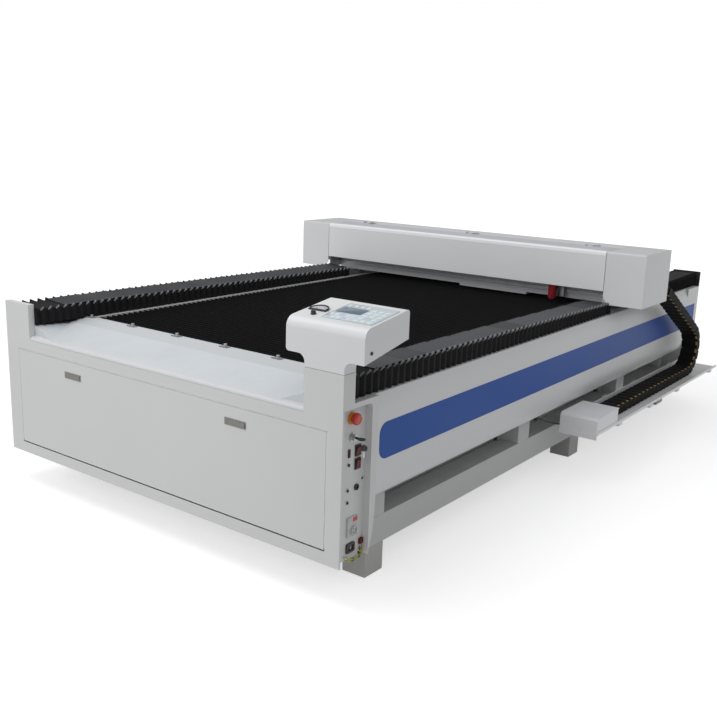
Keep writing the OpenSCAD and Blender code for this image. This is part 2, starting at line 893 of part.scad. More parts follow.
// Fuse holder, port caps and signal sockets
module sockets() {
    color(black) place() {
        on_plate(73, down(159)) block([0, -5, -14], [4, 5, 14]);
        on_plate(71, down(198)) stud(6, 5);
        on_plate(117, down(285)) difference() {
            stud(11, 5);
            stud(6, 6, 1);
        }
        for (p = [[69, down(285)], [69, down(327)]]) on_plate(p[0], p[1]) difference() {
            stud(6, 4);
            stud(2.5, 5, 1);
        }
    }
}

// Outlet plate with its round face
module breaker() {
    color("#aeb3b7") place() on_plate(97, down(417)) {
        block([0, -26, -34], [6, 26, 34]);
        translate([0, 4, -12]) stud(15, 10);
    }
}

module power_inlet() {
    color(black) place() on_plate(92, down(491)) difference() {
        rotate([90, 0, 90]) linear_extrude(6) offset(6) square([32, 22], center = true);
        block([1.5, -15, -9], [7, 15, 9]);
    }
}

// Back plate in the front cabinet with the power unit, the controller, the axis drives and the filter
power_unit = [260, 86, 180];
control_unit = [220, 56, 240];
drive_unit = [60, 76, 150];
filter_unit = [240, 66, 140];
units = [power_unit, control_unit, drive_unit, drive_unit, drive_unit, filter_unit];
unit_margin = 176;
unit_plate = 4;
unit_up = 60;
units_w = power_unit[0] + control_unit[0] + 3 * drive_unit[0] + filter_unit[0];
units_x0 = door_x0 + unit_margin;
units_x1 = door_x1 - unit_margin;
unit_gap = (units_x1 - units_x0 - units_w) / (len(units) + 1);
function unit_x(i) = i == 0 ? units_x0 + unit_gap : unit_x(i - 1) + units[i - 1][0] + unit_gap;
module electrics() {
    z0 = cabinet_bottom + sheet;
    y1 = cabinet_d - cheek_cut_d - unit_plate;
    color(steel) place() {
        block([units_x0, y1, z0], [units_x1, y1 + unit_plate, door_top - 2 * sheet]);
        for (i = [0:len(units) - 1]) let (u = units[i])
            block([unit_x(i), y1 - u[1], z0 + unit_up], [unit_x(i) + u[0], y1, z0 + unit_up + u[2]]);
    }
}

// Cut in the door's skin for the cup of a latch, placed from the middle of the latch
module latch_cut(grow) {
    half = latch_size[1] / 2 - 3 + grow;
    block([latch_mouth[0] - 3 - grow, -1, -half], [latch_mouth[1] + 1 + grow, sheet + 1, half]);
}

// Door: a skin with a folded rim, notched at its hinges
module front_door() {
    lo = [door_x0, 0, door_bottom];
    hi = [door_x1, door_rim, door_top];
    notch = knuckle_l * 1.5 + 1;
    half = knuckle_l / 2;
    eye = door_hinge_z + door_hinge_r;
    color(white) place() {
        difference() {
            block(lo, hi);
            block(lo + sheet * [1, 1, 1], hi + [-sheet, 1, -sheet]);
            for (x = door_hinge_xs)
                block([x - notch, sheet, door_bottom - 1], [x + notch, door_rim + 1, eye + 1]);
            for (s = [-1, 1])
                translate([latch_mid + s * latch_spread, 0, latch_z]) latch_cut(1);
        }
        for (x = door_hinge_xs) difference() {
            union() {
                rod_x(x - half, x + half, door_hinge_y, door_hinge_z, door_hinge_r);
                block([x - half, sheet, door_hinge_z], [x + half, door_hinge_y, eye + 12]);
            }
            rod_x(x - knuckle_l, x + knuckle_l, door_hinge_y, door_hinge_z, door_pin_r + pin_clear);
        }
    }
}

// Hinges fixed behind the sill, each with its pin, reaching round the swing of the door's edge
module door_hinges() {
    leaf = 3;
    leaf_y = door_hinge_y + door_sweep + 0.6;
    foot_z = door_sill - 24;
    color(steel) place() for (x = door_hinge_xs) {
        rod_x(x - knuckle_l * 1.5, x + knuckle_l * 1.5, door_hinge_y, door_hinge_z, door_pin_r);
        for (s = [-1, 1]) {
            x0 = s < 0 ? x - knuckle_l * 1.5 : x + knuckle_l / 2 + 0.3;
            x1 = s < 0 ? x - knuckle_l / 2 - 0.3 : x + knuckle_l * 1.5;
            rod_x(x0, x1, door_hinge_y, door_hinge_z, door_hinge_r);
            block([x0, door_hinge_y, door_hinge_z - leaf / 2], [x1, leaf_y + leaf, door_hinge_z + leaf / 2]);
            block([x0, leaf_y, foot_z], [x1, leaf_y + leaf, door_hinge_z + leaf / 2]);
            block([x0, sheet, foot_z], [x1, leaf_y + leaf, foot_z + 14]);
        }
    }
}

// Bezel and cup of each flush latch, with its lock button at the left and the handle's pin
module latch_frames() {
    w = latch_size[0] / 2;
    h = latch_size[1] / 2;
    lip = latch_proud - 1;
    wall = 2;
    color(dark) place() for (s = [-1, 1]) translate([latch_mid + s * latch_spread, 0, latch_z]) {
        difference() {
            union() {
                block([-w, -lip, -h], [w, 0, h]);
                block([latch_mouth[0] - wall, 0, -h + 3], [latch_mouth[1] + 1, 12, h - 3]);
            }
            block([latch_mouth[0], -lip - 1, -h + 5], [latch_mouth[1], 12 - wall, h - 5]);
        }
        block([-w + 4, -latch_proud, -7], [latch_mouth[0] - 5, -lip, 7]);
        translate([latch_pivot[0], latch_pivot[1], 4 - h]) cylinder(h = 2 * h - 8, r = latch_pin_r);
    }
}

// Handle of a flush latch, hung near its right end
module latch_handle(s) {
    h = latch_size[1] / 2 - 5.4;
    color(steel) place() translate([latch_mid + s * latch_spread, 0, latch_z]) difference() {
        block([latch_mouth[0] + 1, -latch_proud, -h], [latch_pivot[0] + 4, 5, h]);
        translate([latch_pivot[0], latch_pivot[1], -h - 1])
            cylinder(h = 2 * h + 2, r = latch_pin_r + pin_clear);
    }
}

module latch_left() {
    latch_handle(-1);
}

module latch_right() {
    latch_handle(1);
}

// Box beam with a guard plate under its middle
module gantry_beam() {
    beam_top = beam_bottom + beam_h;
    color("#a9acb0") place() {
        tube_between([cap_in_l + plate_t, beam_y, beam_bottom],
            [cap_in_r - plate_t, beam_y + beam_d, beam_top], 0);
        block([guard_x - guard_l / 2, beam_y, beam_bottom - guard_t],
            [guard_x + guard_l / 2, beam_y + beam_d, beam_bottom]);
    }
}

// Plates across the beam's ends, which carry the motors and the rear skin
module end_plates() {
    y0 = gantry_y + cover_lip + 2;
    color("#a9acb0") place() for (x = [cap_in_l, cap_in_r - plate_t])
        block([x, y0, cap_bottom + 1], [x + plate_t, gantry_back - sheet, lid_z - 10]);
}

// Front and rear skins of the gantry, with a turned-in lip under the front one and the fixed rear top
module gantry_cover() {
    x0 = cap_in_l + cover_seam;
    x1 = cap_in_r - cover_seam;
    rear = [[gantry_back, cap_bottom], [gantry_back, gantry_top], [lid_hinge_y + 1, gantry_top]];
    front = [[gantry_y, lid_z - 0.5], [gantry_y, cover_bottom], [gantry_y + cover_lip, cover_bottom]];
    color(white) place() {
        along_x(folded(front, sheet), x0, x1);
        along_x(folded(rear, sheet), x0, x1);
    }
}

// End cap: a folded hood with a rounded upper front edge, open below and towards the beam
module end_cap(width) {
    edge = 9;
    bevel = 32;
    outer = concat(
        [[gantry_y, cap_bottom], [gantry_back, cap_bottom], [gantry_back, gantry_top]],
        arc([gantry_y + edge, gantry_top - edge], edge, 90, 180));
    inner = [
        [gantry_y + sheet, cap_bottom - 1], [gantry_back - sheet, cap_bottom - 1],
        [gantry_back - sheet, gantry_top - sheet], [gantry_y + sheet, gantry_top - sheet]];
    difference() {
        along_x(outer, 0, width);
        along_x(inner, sheet, width + 1);
        along_y(
            [[width + 1, cap_bottom - 1], [width + 1, cap_bottom + bevel], [width - bevel, cap_bottom - 1]],
            gantry_y - 1, gantry_back + 1);
    }
}

module end_cap_left() {
    color(white) place() translate([-over_left, 0, 0]) end_cap(cap_w);
}

module end_cap_right() {
    color(white) place() translate([body_w + over_right, 0, 0]) mirror([1, 0, 0]) end_cap(cap_w);
}

// Guide blocks under the beam's ends
module y_carriages() {
    side = 20;
    half = guide_w / 2;
    z0 = deck_z + 5;
    ys = [beam_y - 60, beam_y + beam_d - 40];
    color(dark) place() both_sides() for (y = ys) translate([guide_x, y, 0]) difference() {
        block([-half - side, 0, z0], [half + side, 90, beam_bottom]);
        block([-half - slide_gap, -1, z0 - 1], [half + slide_gap, 91, deck_z + guide_h + slide_gap]);
    }
}

// Guide along the front of the beam for the cutting head
module x_rail() {
    z = beam_bottom + beam_h / 2;
    color(steel) place() block([cap_in_l + plate_t, beam_y - 12, z - 8], [cap_in_r - plate_t, beam_y, z + 8]);
}

laser_y = beam_y + beam_d - 30;
laser_z = beam_bottom + beam_h + 14 + laser_d / 2;
laser_in = 125;
cradle_in = 250;
cradle_w = 30;
laser_x0 = cap_in_l + laser_in;
laser_x1 = cap_in_r - laser_in;
module laser_tube() {
    cap = 34;
    color("#cfd6da") place() {
        rod_x(laser_x0 + cap, laser_x1 - cap, laser_y, laser_z, laser_d / 2);
        rod_x(laser_x0, laser_x0 + cap, laser_y, laser_z, laser_d / 2 - 12);
        rod_x(laser_x1 - cap, laser_x1, laser_y, laser_z, laser_d / 2 - 12);
    }
}

// Saddles that hold the laser tube on the beam
module tube_cradles() {
    w = laser_d / 2 + 12;
    color(dark) place() for (x = [laser_x0 + cradle_in, laser_x1 - cradle_in]) difference() {
        block([x - cradle_w / 2, laser_y - w, beam_bottom + beam_h],
            [x + cradle_w / 2, laser_y + w, laser_z]);
        rod_x(x - cradle_w, x + cradle_w, laser_y, laser_z, laser_d / 2 + 0.2);
    }
}

// Two steering mirrors in their mounts on the beam
module mirrors() {
    x = laser_x1 + 45;
    color(steel) place() for (y = [laser_y, beam_y + 10]) {
        block([x - 20, y - 8, beam_bottom + beam_h], [x + 20, y + 8, laser_z + 30]);
        translate([x, y + (y == laser_y ? -8 : 8), laser_z]) rotate([y == laser_y ? 90 : -90, 0, 0])
            cylinder(h = 6, r = 16);
    }
}

// Motors in the end caps, bolted to the beam's end plates
module drive_motors() {
    size = 86;
    y0 = beam_y + 10;
    z0 = beam_bottom + 50;
    color(dark) place() {
        block([cap_in_l - 120, y0, z0], [cap_in_l, y0 + size, z0 + size]);
        block([cap_in_r, y0, z0], [cap_in_r + 120, y0 + size, z0 + size]);
    }
}

// Plate behind the right end cap that takes the chain's moving end
module chain_bracket() {
    end = chain_at(link_count * chain_pitch);
    color(dark) place() {
        block([chain_x0 - 10, gantry_back, end[1] - 50], [chain_x1 + 5, gantry_back + 4, end[1] + 45]);
        block([chain_x0 + 12, gantry_back + 4, end[1] - 6],
            [chain_x1 - 12, end[0] - chain_h / 2 - 0.5, end[1] + 6]);
    }
}

// Lower leaves and pins of the lid's hinges
module lid_hinges() {
    color(steel) place() for (x = lid_hinge_xs) {
        rod_x(x - knuckle_l * 1.5, x + knuckle_l * 1.5, lid_hinge_y, lid_hinge_z, lid_pin_r);
        for (s = [-1, 1]) {
            x0 = s < 0 ? x - knuckle_l * 1.5 : x + knuckle_l / 2 + 0.3;
            x1 = s < 0 ? x - knuckle_l / 2 - 0.3 : x + knuckle_l * 1.5;
            rod_x(x0, x1, lid_hinge_y, lid_hinge_z, lid_hinge_r);
            block([x0, lid_hinge_y + 1, gantry_top], [x1, lid_hinge_y + lid_leaf, gantry_top + sheet]);
        }
    }
}

// Lid with a rounded front edge and a front skirt, hung on its rear knuckles
module gantry_lid() {
    edge = 9;
    x0 = cap_in_l + run_gap;
    x1 = cap_in_r - run_gap;
    path = concat(
        [[lid_hinge_y - 1, gantry_top]],
        arc([gantry_y + edge, gantry_top - edge], edge, 90, 180),
        [[gantry_y, lid_z]]);
    half = knuckle_l / 2;
    color(white) place() {
        along_x(folded(path, sheet), x0, x1);
        for (x = lid_hinge_xs) difference() {
            union() {
                rod_x(x - half, x + half, lid_hinge_y, lid_hinge_z, lid_hinge_r);
                block([x - half, lid_hinge_y - lid_leaf, gantry_top - 1],
                    [x + half, lid_hinge_y - 1, gantry_top + sheet]);
            }
            rod_x(x - knuckle_l, x + knuckle_l, lid_hinge_y, lid_hinge_z, lid_pin_r + pin_clear);
        }
    }
}

lens_y = beam_y - 76;
// Carriage on the cross guide, with the bracket and mirror box that the lens tube slides in
module head_carriage() {
    z = beam_bottom + beam_h / 2;
    r = lens_d / 2;
    color(dark) place() translate([head_x, 0, 0]) {
        difference() {
            block([-40, beam_y - 30, z - 24], [40, beam_y - 1, z + 24]);
            block([-41, beam_y - 12 - slide_gap, z - 8 - slide_gap], [41, beam_y, z + 8 + slide_gap]);
        }
        block([-45, beam_y - 38, z - 26], [45, beam_y - 30, cover_bottom + 110]);
        difference() {
            block([-r - 8, lens_y - r - 8, cover_bottom + 20], [r + 8, beam_y - 38, cover_bottom + 60]);
            translate([0, lens_y, cover_bottom]) cylinder(h = 90, r = r + pin_clear);
        }
    }
}

// Lens tube that slides up and down in the carriage, with its nozzle
module lens_tube() {
    z0 = bed_z + 30;
    color(red) place() translate([head_x, lens_y, 0]) {
        translate([0, 0, z0]) cylinder(h = cover_bottom + 66 - z0, r = lens_d / 2);
        translate([0, 0, z0 - 8]) cylinder(h = 8, r = lens_d / 2 - 5);
        translate([0, 0, z0 - 18]) cylinder(h = 10, r1 = 4, r2 = lens_d / 2 - 6);
    }
}

lower_rails();
upper_rails();
uprights();
cross_members();
legs();
front_cabinet();
rear_cabinet();
rear_stops();
front_tray();
rear_tray();
side_covers();
stripes();
inner_panels();
bed_bars();
bed_blades();
bed_clips();
scrap_tray();
y_rails();
front_bellows();
rear_bellows();
chain_tray();
tray_brackets();
chain_box();
cable_chain();
console();
keypad();
display();
meter();
estop_collar();
estop_button();
key_switch();
key();
rocker_frames();
rocker_upper();
rocker_lower();
sockets();
breaker();
power_inlet();
electrics();
front_door();
door_hinges();
latch_frames();
latch_left();
latch_right();
gantry_beam();
end_plates();
gantry_cover();
end_cap_left();
end_cap_right();
y_carriages();
x_rail();
laser_tube();
tube_cradles();
mirrors();
drive_motors();
chain_bracket();
lid_hinges();
gantry_lid();
head_carriage();
lens_tube();
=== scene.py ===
import math

import bmesh
import bpy
from mathutils import Matrix, Vector


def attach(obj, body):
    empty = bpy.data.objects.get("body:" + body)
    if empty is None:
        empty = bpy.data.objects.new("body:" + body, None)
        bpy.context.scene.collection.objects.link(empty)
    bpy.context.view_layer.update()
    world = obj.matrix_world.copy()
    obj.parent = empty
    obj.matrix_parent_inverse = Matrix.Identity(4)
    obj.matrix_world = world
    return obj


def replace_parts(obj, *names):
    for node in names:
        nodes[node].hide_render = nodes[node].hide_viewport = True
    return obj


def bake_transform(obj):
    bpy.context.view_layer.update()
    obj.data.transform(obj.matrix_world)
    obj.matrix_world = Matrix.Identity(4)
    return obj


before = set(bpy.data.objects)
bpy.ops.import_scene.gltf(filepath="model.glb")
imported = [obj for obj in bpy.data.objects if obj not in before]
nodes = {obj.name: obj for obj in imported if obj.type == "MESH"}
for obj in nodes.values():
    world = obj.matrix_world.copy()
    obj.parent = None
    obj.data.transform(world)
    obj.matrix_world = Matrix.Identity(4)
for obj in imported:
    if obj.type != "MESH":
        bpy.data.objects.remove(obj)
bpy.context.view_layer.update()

# Camera. It stands off the machine's front right corner, a little above the gantry's height,
# and looks down along the bed, rolled slightly as it was held by hand.
camera = bpy.data.objects.new("view_camera", bpy.data.cameras.new("view_camera"))
bpy.context.scene.collection.objects.link(camera)
right = Vector((0.79792, 0.60195, 0.03141))
up = Vector((-0.16532, 0.16844, 0.97175))
back = Vector((0.57965, -0.78057, 0.23392))
stand = Matrix.Translation((2.5587, -3.9103, 1.5021))
camera.matrix_world = stand @ Matrix((right, up, back)).transposed().to_4x4()
camera.data.sensor_width = 36.0
camera.data.lens = 46.24
camera.data.clip_end = 100.0
bpy.context.scene.camera = camera


# Loose leads. Two earth leads in striped sleeving cross the foot of the switch recess between a stud and a hole
# in its plate, and a thin lamp lead drops beside them. A black supply cable leaves an inner panel,
# passes over a clip under the side cover's edge and enters the side of the chain's hood.
def link(tree, value, socket):
    if isinstance(value, bpy.types.NodeSocket):
        tree.links.new(value, socket)
    else:
        socket.default_value = value


def ramp(tree, value, low, high):
    node = tree.nodes.new("ShaderNodeMapRange")
    node.inputs["From Min"].default_value = low
    node.inputs["From Max"].default_value = high
    tree.links.new(value, node.inputs["Value"])
    return node.outputs["Result"]


def noise(tree, coords, scale, detail=3.0, rough=0.5):
    node = tree.nodes.new("ShaderNodeTexNoise")
    node.inputs["Scale"].default_value = scale
    node.inputs["Detail"].default_value = detail
    node.inputs["Roughness"].default_value = rough
    tree.links.new(coords, node.inputs["Vector"])
    return node.outputs["Fac"]


def mixed(tree, factor, first, second):
    node = tree.nodes.new("ShaderNodeMix")
    node.data_type = "RGBA"
    link(tree, factor, node.inputs[0])
    link(tree, first, node.inputs[6])
    link(tree, second, node.inputs[7])
    return node.outputs[2]


def math_of(tree, operation, first, second=0.0, third=0.0):
    node = tree.nodes.new("ShaderNodeMath")
    node.operation = operation
    for value, socket in zip((first, second, third), node.inputs):
        link(tree, value, socket)
    return node.outputs[0]


def object_coords(tree, scale=(1.0, 1.0, 1.0), turn=(0.0, 0.0, 0.0)):
    node = tree.nodes.new("ShaderNodeMapping")
    node.inputs["Scale"].default_value = scale
    node.inputs["Rotation"].default_value = turn
    tree.links.new(tree.nodes.new("ShaderNodeTexCoord").outputs["Object"], node.inputs["Vector"])
    return node.outputs["Vector"]


def shaded(color, tree, value):
    node = tree.nodes.new("ShaderNodeHueSaturation")
    link(tree, value, node.inputs["Value"])
    link(tree, color, node.inputs["Color"])
    return node.outputs["Color"]


def new_group(name, color, gloss):
    group = bpy.data.node_groups.new(name, "ShaderNodeTree")
    for label, kind, value in (("Color", "NodeSocketColor", color), ("Gloss", "NodeSocketFloat", gloss),
                               ("Wear", "NodeSocketFloat", 0.1)):
        group.interface.new_socket(label, in_out="INPUT", socket_type=kind).default_value = value
    for label, kind in (("Color", "NodeSocketColor"), ("Roughness", "NodeSocketFloat"), ("Height", "NodeSocketFloat")):
        group.interface.new_socket(label, in_out="OUTPUT", socket_type=kind)
    return group, group.nodes.new("NodeGroupInput").outputs, group.nodes.new("NodeGroupOutput").inputs


def finish_from(name, group, color, gloss, wear, bump, distance=0.001, **sockets):
    material = bpy.data.materials.new(name)
    material.use_nodes = True
    tree = material.node_tree
    shader = tree.nodes["Principled BSDF"]
    for label, value in sockets.items():
        shader.inputs[label.replace("_", " ")].default_value = value
    effect = tree.nodes.new("ShaderNodeGroup")
    effect.node_tree = group
    effect.inputs["Color"].default_value = (*color, 1.0)
    effect.inputs["Gloss"].default_value = gloss
    effect.inputs["Wear"].default_value = wear
    relief = tree.nodes.new("ShaderNodeBump")
    relief.inputs["Strength"].default_value = bump
    relief.inputs["Distance"].default_value = distance
    tree.links.new(effect.outputs["Color"], shader.inputs["Base Color"])
    tree.links.new(effect.outputs["Roughness"], shader.inputs["Roughness"])
    tree.links.new(effect.outputs["Height"], relief.inputs["Height"])
    tree.links.new(relief.outputs["Normal"], shader.inputs["Normal"])
    return material


def moulded_grain_group():
    group, given, made = new_group("moulded_grain", (0.02, 0.02, 0.02, 1.0), 0.45)
    coords = object_coords(group)
    grain = noise(group, coords, 900.0, 4.0, 0.6)
    cloud = ramp(group, noise(group, coords, 24.0, 4.0), 0.35, 0.7)
    rubbed = math_of(group, "MULTIPLY", ramp(group, noise(group, coords, 70.0, 6.0, 0.7), 0.52, 0.7), given["Wear"])
    tone = shaded(given["Color"], group, math_of(group, "MULTIPLY_ADD", cloud, 0.22, 0.9))
    group.links.new(mixed(group, rubbed, tone, (0.32, 0.32, 0.31, 1.0)), made["Color"])
    group.links.new(math_of(group, "MULTIPLY_ADD", cloud, 0.12, given["Gloss"]), made["Roughness"])
    group.links.new(grain, made["Height"])
    return group


moulded_grain = moulded_grain_group()


def earth_sleeving():
    material = finish_from("earth_sleeving", moulded_grain, (0.46, 0.42, 0.03), 0.4, 0.05, 0.02)
    tree = material.node_tree
    bands = tree.nodes.new("ShaderNodeTexWave")
    bands.inputs["Scale"].default_value = 9.0
    bands.bands_direction = "Y"
    tree.links.new(object_coords(tree), bands.inputs["Vector"])
    base = tree.nodes["Principled BSDF"].inputs["Base Color"]
    tree.links.new(mixed(tree, ramp(tree, bands.outputs["Fac"], 0.62, 0.72), base.links[0].from_socket,
                         (0.05, 0.16, 0.03, 1.0)), base)
    return material


middle_x, middle_y = 899.0, 1748.5


def spot(x, y, z):
    return Vector(((x - middle_x) / 1000.0, (y - middle_y) / 1000.0, z / 1000.0))


def lead(name, stops, width, material):
    curve = bpy.data.curves.new(name, "CURVE")
    curve.dimensions = "3D"
    curve.bevel_depth = width / 2000.0
    curve.bevel_resolution = 3
    curve.use_fill_caps = True
    curve.resolution_u = 4
    stops = [spot(*stop) for stop in stops]
    steps = 6
    route = []
    for i in range(len(stops) - 1):
        before, after = stops[max(i - 1, 0)], stops[min(i + 2, len(stops) - 1)]
        a, b = stops[i], stops[i + 1]
        for k in range(steps):
            t = k / steps
            route.append(0.5 * (2 * a + (b - before) * t + (2 * before - 5 * a + 4 * b - after) * t ** 2
                                + (3 * a - before - 3 * b + after) * t ** 3))
    route.append(stops[-1])
    spline = curve.splines.new("POLY")
    spline.points.add(len(route) - 1)
    for point, place in zip(spline.points, route):
        point.co = (*place, 1.0)
    curve.materials.append(material)
    piece = bpy.data.objects.new(name, curve)
    bpy.context.scene.collection.objects.link(piece)
    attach(piece, "base")


black_sleeving = finish_from("black_sleeving", moulded_grain, (0.014, 0.014, 0.015), 0.45, 0.03, 0.03)
green_yellow = earth_sleeving()
lead("earth_lead_upper", [(1772, 146, 163), (1781, 145, 162), (1787, 132, 154), (1788, 108, 147), (1787, 84, 148),
                          (1783, 67, 153), (1777, 62, 158)], 5, green_yellow)
lead("earth_lead_lower", [(1772, 152, 155), (1780, 151, 153), (1786, 138, 144), (1787, 112, 138), (1786, 86, 139),
                          (1783, 69, 145), (1777, 62, 152)], 5, green_yellow)
lead("lamp_lead", [(1779, 148, 180), (1781, 147, 175), (1782, 146, 168), (1781, 144, 158), (1778, 142, 150),
                   (1772, 141, 147)], 2, black_sleeving)
lead("hood_cable", [(1614, 1540, 300), (1640, 1532, 306), (1690, 1504, 312), (1735, 1476, 311), (1756, 1469, 309),
                    (1772, 1526, 287), (1786, 1580, 268), (1796, 1618, 257), (1805, 1650, 254)],
     7, black_sleeving)


# Painted sheet metal. Cabinets, covers, trays and the gantry's skins are folded from steel sheet
# and powder coated, which leaves a faint orange peel and a thin film of dust on what faces up.
# The whites are one paint; their tones differ between pieces as painted light and shade.
def powder_coat_group():
    group, given, made = new_group("powder_coat", (0.6, 0.6, 0.6, 1.0), 0.4)
    coords = object_coords(group)
    facing = group.nodes.new("ShaderNodeSeparateXYZ")
    group.links.new(group.nodes.new("ShaderNodeNewGeometry").outputs["Normal"], facing.inputs[0])
    upward = ramp(group, facing.outputs["Z"], 0.4, 1.0)
    film = ramp(group, noise(group, coords, 5.0, 6.0, 0.65), 0.42, 0.72)
    dust = math_of(group, "MULTIPLY", math_of(group, "MULTIPLY", upward, film), given["Wear"])
    mottle = ramp(group, noise(group, coords, 1.7, 2.0), 0.3, 0.7)
    streaked = noise(group, object_coords(group, (9.0, 9.0, 60.0)), 3.0, 5.0, 0.7)
    rubs = math_of(group, "MULTIPLY", ramp(group, streaked, 0.62, 0.76), given["Wear"])
    tone = shaded(given["Color"], group, math_of(group, "MULTIPLY_ADD", mottle, 0.045, 0.975))
    marks = math_of(group, "MAXIMUM", dust, math_of(group, "MULTIPLY", rubs, 0.35))
    group.links.new(mixed(group, marks, tone, (0.34, 0.33, 0.31, 1.0)), made["Color"])
    rough = math_of(group, "MULTIPLY_ADD", mottle, 0.06, given["Gloss"])
    group.links.new(math_of(group, "ADD", rough, marks), made["Roughness"])
    group.links.new(noise(group, coords, 420.0, 2.0), made["Height"])
    return group


powder_coat = powder_coat_group()


def dress(names, material):
    for name in names:
        nodes[name].data.materials.clear()
        nodes[name].data.materials.append(material)


def even_shading_group():
    group = bpy.data.node_groups.new("even_shading", "GeometryNodeTree")
    group.interface.new_socket("Geometry", in_out="INPUT", socket_type="NodeSocketGeometry")
    group.interface.new_socket("Geometry", in_out="OUTPUT", socket_type="NodeSocketGeometry")
    given = group.nodes.new("NodeGroupInput")
    made = group.nodes.new("NodeGroupOutput")
    angle = group.nodes.new("GeometryNodeInputMeshEdgeAngle")
    gentle = group.nodes.new("FunctionNodeCompare")
    gentle.operation = "LESS_THAN"
    gentle.inputs[1].default_value = math.radians(33.0)
    creases = group.nodes.new("GeometryNodeSetShadeSmooth")
    creases.domain = "EDGE"
    faces = group.nodes.new("GeometryNodeSetShadeSmooth")
    group.links.new(angle.outputs["Unsigned Angle"], gentle.inputs[0])
    group.links.new(given.outputs[0], creases.inputs[0])
    group.links.new(gentle.outputs[0], creases.inputs["Shade Smooth"])
    group.links.new(creases.outputs[0], faces.inputs[0])
    group.links.new(faces.outputs[0], made.inputs[0])
    return group


even_shading = even_shading_group()


def soften(names, edge=0.0):
    for name in names:
        weld = nodes[name].modifiers.new("weld", "WELD")
        weld.merge_threshold = 0.00002
        if edge:
            flat = nodes[name].modifiers.new("flat", "DECIMATE")
            flat.decimate_type = "DISSOLVE"
            flat.angle_limit = math.radians(0.6)
            fold = nodes[name].modifiers.new("fold", "BEVEL")
            fold.width = edge / 1000.0
            fold.segments = 2
            fold.limit_method = "ANGLE"
            fold.angle_limit = math.radians(40.0)
            fold.use_clamp_overlap = True
        nodes[name].modifiers.new("shading", "NODES").node_group = even_shading
        if edge:
            level = nodes[name].modifiers.new("level", "WEIGHTED_NORMAL")
            level.keep_sharp = True


def tint_below(material, axis, low, high, color, both_ends=False):
    tree = material.node_tree
    place = tree.nodes.new("ShaderNodeSeparateXYZ")
    tree.links.new(object_coords(tree), place.inputs[0])
    along = math_of(tree, "ABSOLUTE", place.outputs[axis]) if both_ends else place.outputs[axis]
    base = tree.nodes["Principled BSDF"].inputs["Base Color"]
    tree.links.new(mixed(tree, ramp(tree, along, low, high), color, base.links[0].from_socket), base)


white_coat = finish_from("white_coat", powder_coat, (0.69, 0.70, 0.71), 0.36, 0.10, 0.04)
white_sheets = ("front_cabinet", "rear_cabinet", "side_covers", "front_door", "console", "gantry_cover",
                "end_cap_left", "end_cap_right")
dress(white_sheets, white_coat)
# A darker copy of the white on the front cabinet and door is painted shade; paler copies on the gantry, console and
# chain trough are painted light.
front_white_painted_shade = finish_from("front_white_painted_shade", powder_coat, (0.66, 0.664, 0.668), 0.36, 0.10, 0.04)
dress(("front_cabinet", "front_door"), front_white_painted_shade)
gantry_white_painted_light = finish_from("gantry_white_painted_light", powder_coat, (0.74, 0.75, 0.76), 0.36, 0.10, 0.04)
dress(("gantry_cover", "console"), gantry_white_painted_light)
trough_white_painted_light = finish_from("trough_white_painted_light", powder_coat, (0.86, 0.865, 0.875), 0.36, 0.12, 0.04)
trough_sheets = ("chain_tray", "tray_brackets", "chain_box")
dress(trough_sheets, trough_white_painted_light)
tray_coat = finish_from("tray_coat", powder_coat, (0.605, 0.645, 0.68), 0.38, 0.14, 0.04)
# Painted shade: the flat part of each tray inward of its fold is toned darker. Below the front fold the tray turns a
# neutral grey, so the fold runs smoothly into the face.
tint_below(tray_coat, "Y", 1.535, 1.538, (0.54, 0.57, 0.59, 1.0), True)
tint_below(tray_coat, "Z", 0.646, 0.666, (0.66, 0.66, 0.66, 1.0))
dress(("front_tray", "rear_tray"), tray_coat)
lid_coat = finish_from("lid_coat", powder_coat, (0.58, 0.60, 0.66), 0.34, 0.12, 0.04)
# Painted highlight: the lid's front lip is toned near white where its rounded edge catches the light.
tint_below(lid_coat, "Y", 0.408, 0.424, (0.92, 0.93, 0.95, 1.0))
dress(("gantry_lid",), lid_coat)
soften(white_sheets + trough_sheets + ("front_tray", "rear_tray", "gantry_lid"), 1.0)

# Frame. Square steel tubes are welded into a table and sprayed a duller grey white.
# Grey sheets are screwed behind its windows, toned paler towards the middle, where the photograph shows them lit.
frame_tubes = ("lower_rails", "upper_rails", "uprights", "cross_members")
frame_coat = finish_from("frame_coat", powder_coat, (0.55, 0.555, 0.56), 0.5, 0.2, 0.06)
dress(frame_tubes, frame_coat)
leg_coat = finish_from("leg_coat", powder_coat, (0.45, 0.45, 0.44), 0.5, 0.2, 0.06)
dress(("legs",), leg_coat)
panel_coat = finish_from("panel_coat", powder_coat, (0.60, 0.605, 0.61), 0.55, 0.2, 0.06)
tint_below(panel_coat, "Y", 0.18, 0.38, (0.95, 0.955, 0.96, 1.0), True)
dress(("inner_panels",), panel_coat)
soften(frame_tubes + ("legs",), 2.0)

# Painted band along each side, sprayed through a mask on the side covers.
band_blue = finish_from("band_blue", powder_coat, (0.016, 0.082, 0.36), 0.42, 0.02, 0.03, Specular_IOR_Level=0.2)
dress(("stripes",), band_blue)
soften(("stripes",))

# Dark parts. Motors, saddles, the chain's bracket, the rear stops and the tray under the bed are painted matt black.
matt_black = finish_from("matt_black", powder_coat, (0.016, 0.016, 0.018), 0.58, 0.05, 0.08)
dress(("scrap_tray", "drive_motors", "chain_bracket", "tube_cradles", "rear_stops"), matt_black)
